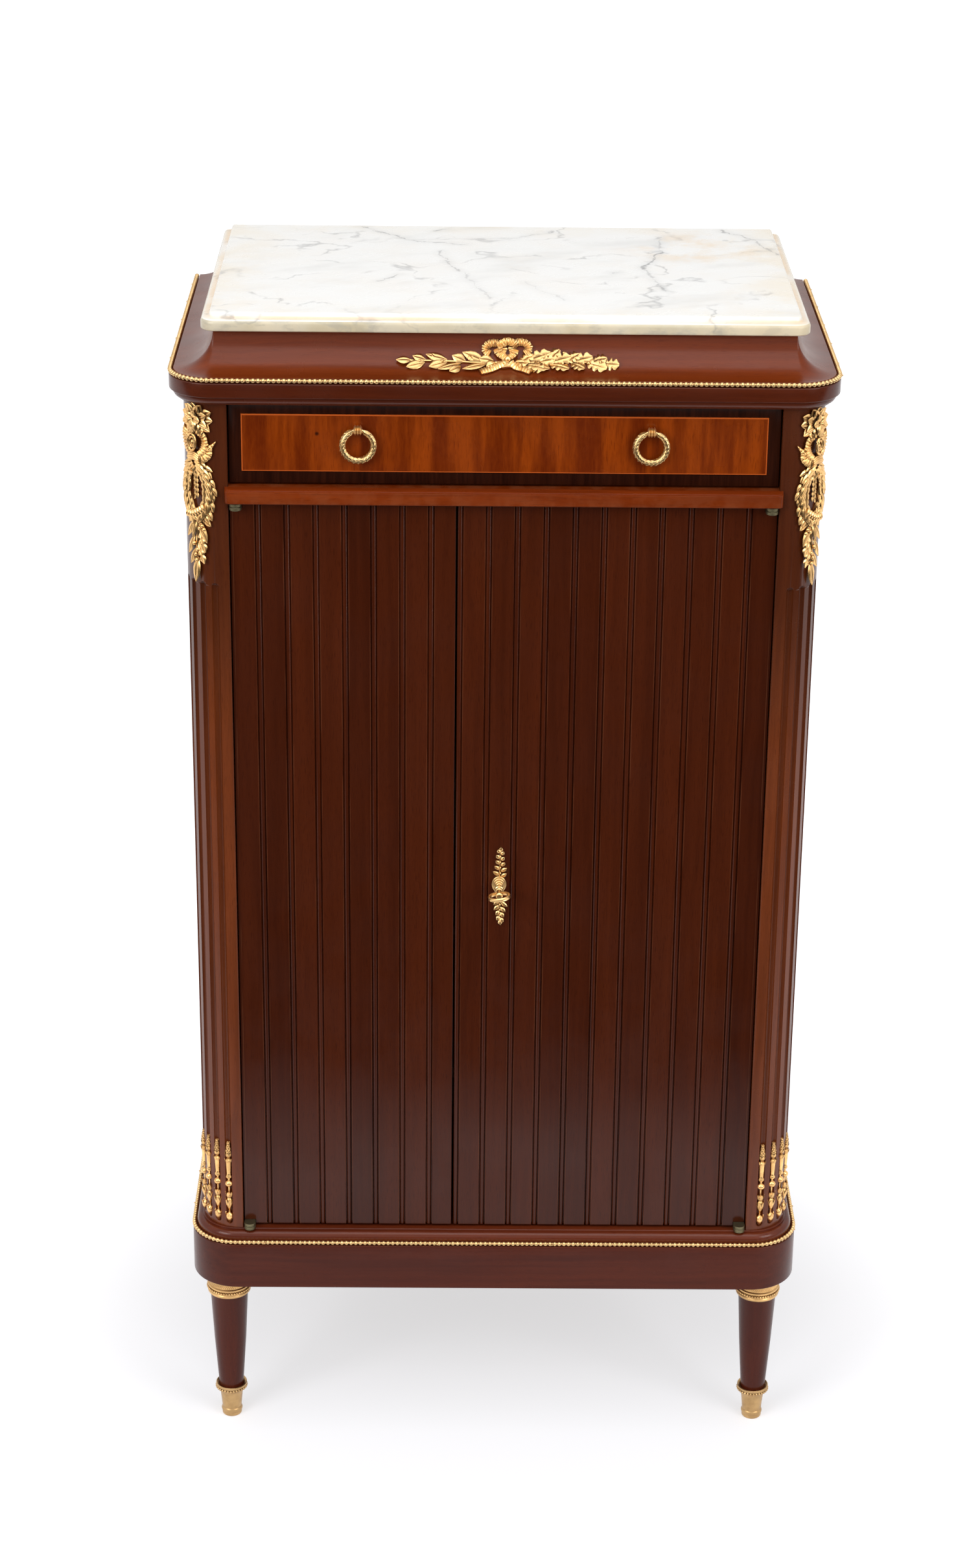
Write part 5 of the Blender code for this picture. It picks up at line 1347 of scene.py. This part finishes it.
def makeCornerMount(side, sign):
    spot = postSpot(sign, corner["turns"][side])
    shape = bmesh.new()
    berries = [berryPlace(spot, across, drop, *corner["berryForm"]) for across, drop in corner["berries"]]
    sprays = {"laurel": flowerPlaces(spot), "oak": [], "berry": berries}
    for branch in corner["branches"]:
        sprays["laurel"] += branchPlaces(spot, branch)
        stem(shape, spot, branch, *corner["branchStem"])
    for kind in ("laurel", "oak"):
        for a0, d0, a1, d1, width in corner[kind]:
            sprays[kind].append(leafPlace(spot, (a0, d0), (a1, d1), width, *corner["pendantForm"]))
    huskOut, huskDown = corner["husk"]
    for across, drop in corner["strand"]:
        for way in (-1.0, 1.0):
            end = (across + way * huskOut, drop + huskDown + way)
            sprays["laurel"].append(leafPlace(spot, (across, drop), end, *corner["huskForm"]))
    addSprays(shape, sprays, "giltMount")

    for points, *form in corner["ribbons"]:
        ribbon(shape, spot, points, *form)
    for points, radius, lift in corner["stems"]:
        stem(shape, spot, points, radius, lift)
    width, lift, fall = corner["wrapForm"]
    for index in range(corner["wraps"]):
        off = index - corner["wraps"] // 2
        points = [(across, drop + off * corner["wrapStep"]) for across, drop in corner["wrap"]]
        ribbon(shape, spot, points, width, lift - abs(off) * fall, 0.0, 1.0)
    across, drop, wide, tall = corner["scroll"]
    for share, lift in corner["scrollRings"]:
        oval = [spot(across + share * wide * x, drop + share * tall * y, lift)[0] for x, y in circle(20)]
        wire(shape, oval, corner["scrollWire"], 8, True)
    knobDrop, knobLift = corner["knob"]
    knob = Matrix.Translation(spot(across, drop + knobDrop, knobLift)[0])
    ball(shape, 0.5, knob @ Matrix.Diagonal(corner["knobSize"]))
    gild(side + "CornerMount", shape, "giltMount", 45.0, side + "_corner_mount")


# drawer rings wrapped in laurel, hung in ribbed bosses

pulls = {
    "wire": 0.0017, "leaves": 11, "from": 16.0, "sweep": 150.0, "leafLong": 0.0088,
    "leafForm": (4.0, 3.0, -0.5, 0.5), "roll": 16.0, "stagger": 0.25,
    "around": (35.0, 90.0, 145.0, 215.0, 325.0), "inset": 0.0005, "bossHalf": 0.0040, "bossEnd": 0.0030,
    "bossFull": 0.0053, "rib": 0.0008, "ribs": 3, "ribSteps": 24, "post": 0.0026, "sunk": 0.0004,
}


def makePull(side):
    start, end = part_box(side + "_ring")
    middle = (start + end) / 2
    radius = (end.x - start.x) / 2 - pulls["wire"] - pulls["inset"]

    def spot(angle, around, lift):
        outward = Vector((sin(angle), 0.0, cos(angle)))
        normal = outward * cos(around) - Vector((0.0, sin(around), 0.0))
        return middle + outward * radius + normal * (pulls["wire"] + lift * mm), normal

    places = []
    reach = pulls["leafLong"] / radius
    for way in (-1.0, 1.0):
        for index in range(pulls["leaves"]):
            angle = radians(pulls["from"] + pulls["sweep"] * index / (pulls["leaves"] - 1))
            for around in pulls["around"]:
                foot = angle + (pulls["stagger"] * reach if around == 90.0 else 0.0)
                ends = [(way * turned, radians(around)) for turned in (foot, foot + reach)]
                places.append(leafPlace(spot, *ends, *pulls["leafForm"], radians(pulls["roll"])))
    shape = bmesh.new()
    hoop = [middle + Vector((radius * x, 0.0, radius * y)) for x, y in circle(48)]
    wire(shape, hoop, pulls["wire"], 10, True)
    addSprays(shape, {"laurel": places}, "brightenedGilt")
    gild(side + "Ring", shape, "brightenedGilt", 45.0, side + "_ring", body=side + "_pull")

    centre = middle + Vector((0.0, 0.0, radius))
    half, edge, steps = pulls["bossHalf"], pulls["bossEnd"], pulls["ribSteps"]
    profile = [(0.0, -half), (edge, -half)]
    for share in (k / steps for k in range(steps + 1)):
        dip = pulls["rib"] * (1.0 + cos(2 * pi * pulls["ribs"] * share))
        profile.append((pulls["bossFull"] - dip, half * (2 * share - 1)))
    profile += [(edge, half), (0.0, half)]
    shape = bmesh.new()
    turn(shape, profile, Matrix.Translation(centre) @ Matrix.Rotation(radians(90.0), 4, "Y"), 32)
    wire(shape, [centre, Vector((centre.x, doorFace + pulls["sunk"], centre.z))], pulls["post"], 12)
    gild(side + "RingBoss", shape, "giltBow", 45.0, side + "_ring_boss", body="drawer_box")


# torch drops set in the foot of each flute; profile: radius and height in mm
# leaves: turn, foot height, tip height, width, height, lift, tip lift

drops = {
    "foot": 0.0048, "sink": 0.0005, "swell": 1.18, "sides": 14, "around": 6, "rows": 6, "rowFoot": 86.0,
    "rowStep": 1.95, "petalLong": 3.6, "flame": 2.3, "narrowing": 0.30, "petalForm": (2.0, 1.1),
    "leaves": [(0.0, 74.0, 80.6, 2.6, 1.4, 2.1, 3.4), (0.0, 31.0, 39.6, 2.8, 1.4, 1.9, 3.4),
               (0.5, 18.5, 30.4, 3.4, 1.6, 1.4, 3.6), (0.0, 80.0, 87.4, 2.6, 1.4, 1.3, 3.0)],
    "calyx": (3.0, 13.4, 4.0, 2.2, 1.6, 2.6),
    "profile": [(0.0, 0.0), (1.4, 2.0), (2.8, 5.0), (3.4, 8.0), (3.0, 11.0), (1.6, 12.4), (0.8, 13.0),
                (0.8, 16.6), (1.3, 17.2), (2.2, 20.5), (2.9, 24.0), (3.0, 27.5), (2.2, 29.8),
                (1.7, 30.8), (2.4, 31.6), (2.5, 34.0), (2.9, 36.5), (1.9, 37.2), (0.8, 38.0),
                (0.8, 44.6), (1.8, 45.3), (3.1, 46.6), (3.65, 48.6), (3.1, 50.7), (1.8, 52.0),
                (1.0, 52.5), (1.0, 54.6), (1.9, 55.2), (2.6, 56.4), (2.7, 57.5), (2.3, 58.9),
                (1.9, 59.8), (2.0, 62.0), (2.3, 68.0), (2.5, 74.0), (2.9, 77.4), (3.1, 78.3),
                (2.4, 79.0), (1.6, 79.6), (1.9, 82.0), (2.6, 85.4), (2.4, 86.2), (2.4, 88.0),
                (2.2, 91.0), (1.6, 95.0), (0.8, 98.4), (0.0, 99.4)],
}


def makeDropForm():
    def spot(angle, z, lift):
        normal = Vector((cos(angle), sin(angle), 0.0))
        return normal * lift * mm + Vector((0.0, 0.0, z * mm)), normal

    def whorl(count, turned, foot, tip, *form):
        angles = [2 * pi * k / count + turned for k in range(count)]
        return [leafPlace(spot, (angle, foot), (angle, tip), *form) for angle in angles]

    sprays = {"petal": whorl(4, 0.0, *drops["calyx"]), "laurel": []}
    for row in range(drops["rows"]):
        foot = drops["rowFoot"] + drops["rowStep"] * row
        reach = drops["flame"] - drops["narrowing"] * row
        turned = pi / drops["around"] * (row % 2)
        form = (*drops["petalForm"], reach, reach)
        sprays["petal"] += whorl(drops["around"], turned, foot, foot + drops["petalLong"], *form)
    for form in drops["leaves"]:
        sprays["laurel"] += whorl(drops["around"], *form)
    shape = bmesh.new()
    turn(shape, [(radius * mm, z * mm) for radius, z in drops["profile"]], Matrix(), drops["sides"])
    addSprays(shape, sprays, "giltBronze")
    return finishMesh("dropForm", shape, "giltBronze")


def makeDrops(side, sign):
    axis = postAxis(sign, low(side + "_front_post").z + drops["foot"])
    upright = Vector((0.0, 0.0, 1.0))
    places = []
    for angle in fluteAngles():
        normal = Vector((sign * sin(radians(angle)), -cos(radians(angle)), 0.0))
        facing = Matrix((normal, upright.cross(normal), upright)).transposed().to_4x4()
        facing = facing @ Matrix.Diagonal((drops["swell"], drops["swell"], 1.0, 1.0))
        places.append(Matrix.Translation(axis + normal * (posts["radius"] - drops["sink"])) @ facing)
    mesh = sprayMesh("drop", places, "giltMount")
    settle(linkMesh(side + "Drops", mesh, "giltMount", 45.0), "carcass", "gilt_bronze")


# leafy escutcheon with a stepped boss, and the key's oval bow; mm across the plate and down from its top
# sprays: first and last row, rows, way that the leaves point, half widths of the first and last row

lock = {
    "top": 0.7070, "shift": 1.2, "axis": 0.6635, "leafForm": (4.3, 3.6, 0.8), "tipLift": 1.8,
    "endLift": 1.2, "sprays": [(6.0, 31.0, 5, -5.0, 3.2, 7.2), (64.0, 82.0, 4, 5.0, 7.2, 3.2)],
    "berry": (1.8, 2.1), "ends": [((0.2, 6.0), (0.6, 0.0)), ((-0.2, 83.0), (0.8, 89.0))],
    "stem": (1.0, 0.9),
    "stems": [[(0.2, 3.0), (-0.4, 18.0), (-0.8, 34.0)], [(-0.6, 60.0), (-0.8, 70.0), (-1.0, 83.0)]],
    "rings": 5, "ringStart": 7.6, "ringStep": 1.30, "ringFoot": 0.9, "ringRise": 2.3, "ringBead": 0.95,
    "quirk": 0.5, "bossTall": 1.22, "bossRise": 0.0009,
    "shank": [(0.0, 10.8), (3.0, 10.8), (4.6, 11.4), (5.0, 12.4), (4.6, 13.6), (3.6, 14.2), (4.1, 15.4),
              (3.8, 16.8), (2.9, 17.6), (2.6, 22.0), (2.8, 27.0), (3.6, 28.4), (2.4, 29.6), (0.0, 29.8)],
    "bow": (10.6, 8.6), "bowBack": 7.7, "tilt": 8.0, "pin": 0.0018, "pinEnd": 0.011,
    "bowSection": [(-1.1, 0.0), (-0.9, -1.6), (0.4, -2.0), (1.2, -1.3), (0.8, -0.3), (0.8, 0.3),
                   (1.2, 1.3), (0.4, 2.0), (-0.9, 1.6)],
}


def frontSpot(x, drop, lift):
    place = Vector(((x + lock["shift"]) * mm, doorFace - lift * mm, lock["top"] - drop * mm))
    return place, Vector((0.0, -1.0, 0.0))


def faceForward(z):
    return Matrix.Translation((0.0, doorFace, z)) @ Matrix.Rotation(radians(90.0), 4, "X")


def makeEscutcheon():
    sprays = {"laurel": [], "berry": []}
    for first, last, rows, rise, halfFirst, halfLast in lock["sprays"]:
        for row in range(rows):
            share = row / (rows - 1)
            drop = first + (last - first) * share
            half = halfFirst + (halfLast - halfFirst) * share
            sprays["berry"].append(berryPlace(frontSpot, 0.0, drop + rise * 0.3, *lock["berry"]))
            for way in (-1.0, 1.0):
                middle = drop + way * 1.1
                start = (way * 0.3, middle - rise * 0.5)
                end = (way * half * uneven(row, 0.10, way), middle + rise * 0.5)
                leaf = leafPlace(frontSpot, start, end, *lock["leafForm"], lock["tipLift"])
                sprays["laurel"].append(leaf)
    for start, end in lock["ends"]:
        sprays["laurel"].append(leafPlace(frontSpot, start, end, *lock["leafForm"], lock["endLift"]))
    shape = bmesh.new()
    addSprays(shape, sprays, "giltLock")
    for points in lock["stems"]:
        stem(shape, frontSpot, points, *lock["stem"])
    bead = lock["ringBead"]
    hive = [(0.0, -1.0), (lock["ringStart"], -1.0)]
    for ring in range(lock["rings"]):
        r, y = lock["ringStart"] - lock["ringStep"] * ring - bead, lock["ringFoot"] + lock["ringRise"] * ring
        hive += arc(r, y, bead, bead, -80.0, 80.0, 8) + [(r - lock["quirk"], y + bead)]
    hive.append((0.0, hive[-1][1] + 0.1))
    oval = faceForward(lock["axis"] + lock["bossRise"]) @ Matrix.Diagonal((1.0, lock["bossTall"], 1.0, 1.0))
    turn(shape, [(r * mm, y * mm) for r, y in hive], oval, 40)
    gild("escutcheon", shape, "giltLock", 40.0, "escutcheon", body="wide_door")


def makeKey():
    start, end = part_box("key")
    axis = lock["axis"]
    shape = bmesh.new()
    turn(shape, [(r * mm, y * mm) for r, y in lock["shank"]], faceForward(axis), 32)
    wide, deep = lock["bow"]
    middle = Vector((0.0, start.y + (deep + lock["bowBack"]) * mm, axis))
    tilt = Matrix.Rotation(radians(-lock["tilt"]), 3, "Y")
    sections = []
    for x, y in circle(40):
        out = Vector((x * deep, y * wide, 0.0)).normalized()
        ring = Vector((x * wide, y * deep, 0.0))
        section = [ring + out * outward + Vector((0.0, 0.0, up)) for outward, up in lock["bowSection"]]
        sections.append([middle + tilt @ point * mm for point in section])
    skin(shape, sections, ring=True)
    wire(shape, [Vector((0.0, end.y, axis)), Vector((0.0, doorFace - lock["pinEnd"], axis))], lock["pin"], 12)
    gild("key", shape, "giltLock", 40.0, "key", body="door_key")


leafObjects["drop"] = makeDropForm()
makeEscutcheon()
makeKey()
makeFriezeMount()
for side, sign in (("left", -1.0), ("right", 1.0)):
    makeDrops(side, sign)
    makeCornerMount(side, sign)
    makePull(side)
for form in leafObjects.values():
    bpy.data.objects.remove(form, do_unlink=True)
print("gilt mounts made")

cadLooks = {
    "postMahogany": ["left_rear_stile", "right_rear_stile", "left_side_panel", "right_side_panel"],
    "insideMahogany": ["shelf_1", "shelf_2", "shelf_3", "shelf_4"], "plainWood": ["back_panel"],
    "drawerWood": ["dust_board", "left_drawer_guide", "right_drawer_guide", "drawer_left_side",
                   "drawer_right_side", "drawer_back", "drawer_bottom"],
    "lockSteel": ["lock_case", "lock_bolt"],
}
for finish, names in cadLooks.items():
    for name in names:
        materials = cadNodes[name].data.materials
        materials.clear()
        materials.append(finishes[finish])


# floor, light and camera

studio = {
    "skyLevel": 0.42, "white": (1.0, 1.0, 1.0, 1.0), "floorTone": (0.62, 0.62, 0.63, 1.0),
    "floorGlow": 0.58, "floorShare": (0.50, 0.50, 0.53, 1.0), "sheetEnd": -0.89, "sheetSoft": 0.14,
    "beyond": (0.05, 0.05, 0.05, 1.0), "near": 0.32, "far": 0.85, "half": 30.0, "drop": 0.0003,
}
lamps = {
    "overhead": {"place": (0.0, -1.1, 3.3), "size": 2.4, "power": 34.0, "aim": (0.0, 0.0, 0.6)},
    "leftKey": {"place": (-2.2, -2.4, 2.2), "size": 1.5, "power": 45.0, "aim": (0.0, 0.0, 0.7)},
    "rightFill": {"place": (2.3, -2.2, 1.9), "size": 1.5, "power": 34.0, "aim": (0.0, 0.0, 0.7)},
}
photo = {
    "place": (-0.0462, -3.2972, 2.1154), "yaw": 0.0114, "pitch": 0.4042, "roll": -0.0116,
    "focal": 5116.52, "tall": 2420.0, "sensor": 36.0,
}


def rayIs(tree, *kinds):
    path = terms(addNode(tree, "ShaderNodeLightPath").outputs)
    seen = path["Is " + kinds[0] + " Ray"]
    for kind in kinds[1:]:
        seen = seen.calc("MAXIMUM", path["Is " + kind + " Ray"])
    return seen


def makeWorld():
    world = bpy.data.worlds.new("studio")
    scene.world = world
    world.use_nodes = True
    tree = world.node_tree
    tree.nodes.clear()
    seen = rayIs(tree, "Camera", "Glossy", "Transmission")
    strength = ranged(seen, 0.0, 1.0, studio["skyLevel"], 1.0)
    sky = term(tree, "ShaderNodeBackground", {"Color": studio["white"], "Strength": strength})
    addNode(tree, "ShaderNodeOutputWorld", {0: sky})


def makeFloor():
    material = bpy.data.materials.new("paleFloor")
    material.use_nodes = True
    tree = material.node_tree
    tree.nodes.clear()
    plain, shown, bare = (term(tree, "ShaderNodeBsdfDiffuse", {"Color": studio[tone]})
                          for tone in ("floorTone", "floorShare", "beyond"))
    place = term(tree, "ShaderNodeTexCoord", output="Object")
    level = ranged(vectorCalc("LENGTH", place), studio["near"], studio["far"], studio["floorGlow"], 1.0)
    glow = term(tree, "ShaderNodeEmission", {"Color": studio["white"], "Strength": level})
    lit = term(tree, "ShaderNodeAddShader", {0: shown, 1: glow})
    end, soft = studio["sheetEnd"], studio["sheetSoft"]
    onSheet = ranged(split(place)[1], end - soft, end + soft).calc("MAXIMUM", rayIs(tree, "Camera"))
    sheet = term(tree, "ShaderNodeMixShader", {0: onSheet, 1: bare, 2: lit})
    seen = rayIs(tree, "Camera", "Glossy", "Transmission")
    either = term(tree, "ShaderNodeMixShader", {0: seen, 1: plain, 2: sheet})
    addNode(tree, "ShaderNodeOutputMaterial", {0: either})

    shape = bmesh.new()
    ground = Matrix.Translation((0.0, 0.0, -studio["drop"]))
    bmesh.ops.create_grid(shape, x_segments=2, y_segments=2, size=studio["half"], matrix=ground)
    mesh = bpy.data.meshes.new("floor")
    shape.to_mesh(mesh)
    shape.free()
    mesh.materials.append(material)
    floor = bpy.data.objects.new("floor", mesh)
    scene.collection.objects.link(floor)


def makeLamps():
    for name, lamp in lamps.items():
        data = bpy.data.lights.new(name, "AREA")
        data.shape = "SQUARE"
        data.size = lamp["size"]
        data.energy = lamp["power"]
        item = bpy.data.objects.new(name, data)
        item.location = lamp["place"]
        towards = Vector(lamp["aim"]) - Vector(lamp["place"])
        item.rotation_euler = towards.to_track_quat("-Z", "Y").to_euler()
        scene.collection.objects.link(item)


def makeCamera():
    yaw, pitch, roll = photo["yaw"], photo["pitch"], photo["roll"]
    forward = Vector((sin(yaw) * cos(pitch), cos(yaw) * cos(pitch), -sin(pitch)))
    level = Vector((cos(yaw), -sin(yaw), 0.0))
    downward = forward.cross(level)
    across = level * cos(roll) + downward * sin(roll)
    below = downward * cos(roll) - level * sin(roll)
    data = bpy.data.cameras.new("photoCamera")
    data.sensor_width = photo["sensor"]
    data.lens = photo["focal"] * photo["sensor"] / photo["tall"]
    data.clip_end = 100.0
    camera = bpy.data.objects.new("photoCamera", data)
    facing = Matrix((across, -below, -forward)).transposed().to_4x4()
    camera.matrix_world = Matrix.Translation(photo["place"]) @ facing
    scene.collection.objects.link(camera)
    scene.camera = camera


makeWorld()
makeFloor()
makeLamps()
makeCamera()
print("studio and camera made")
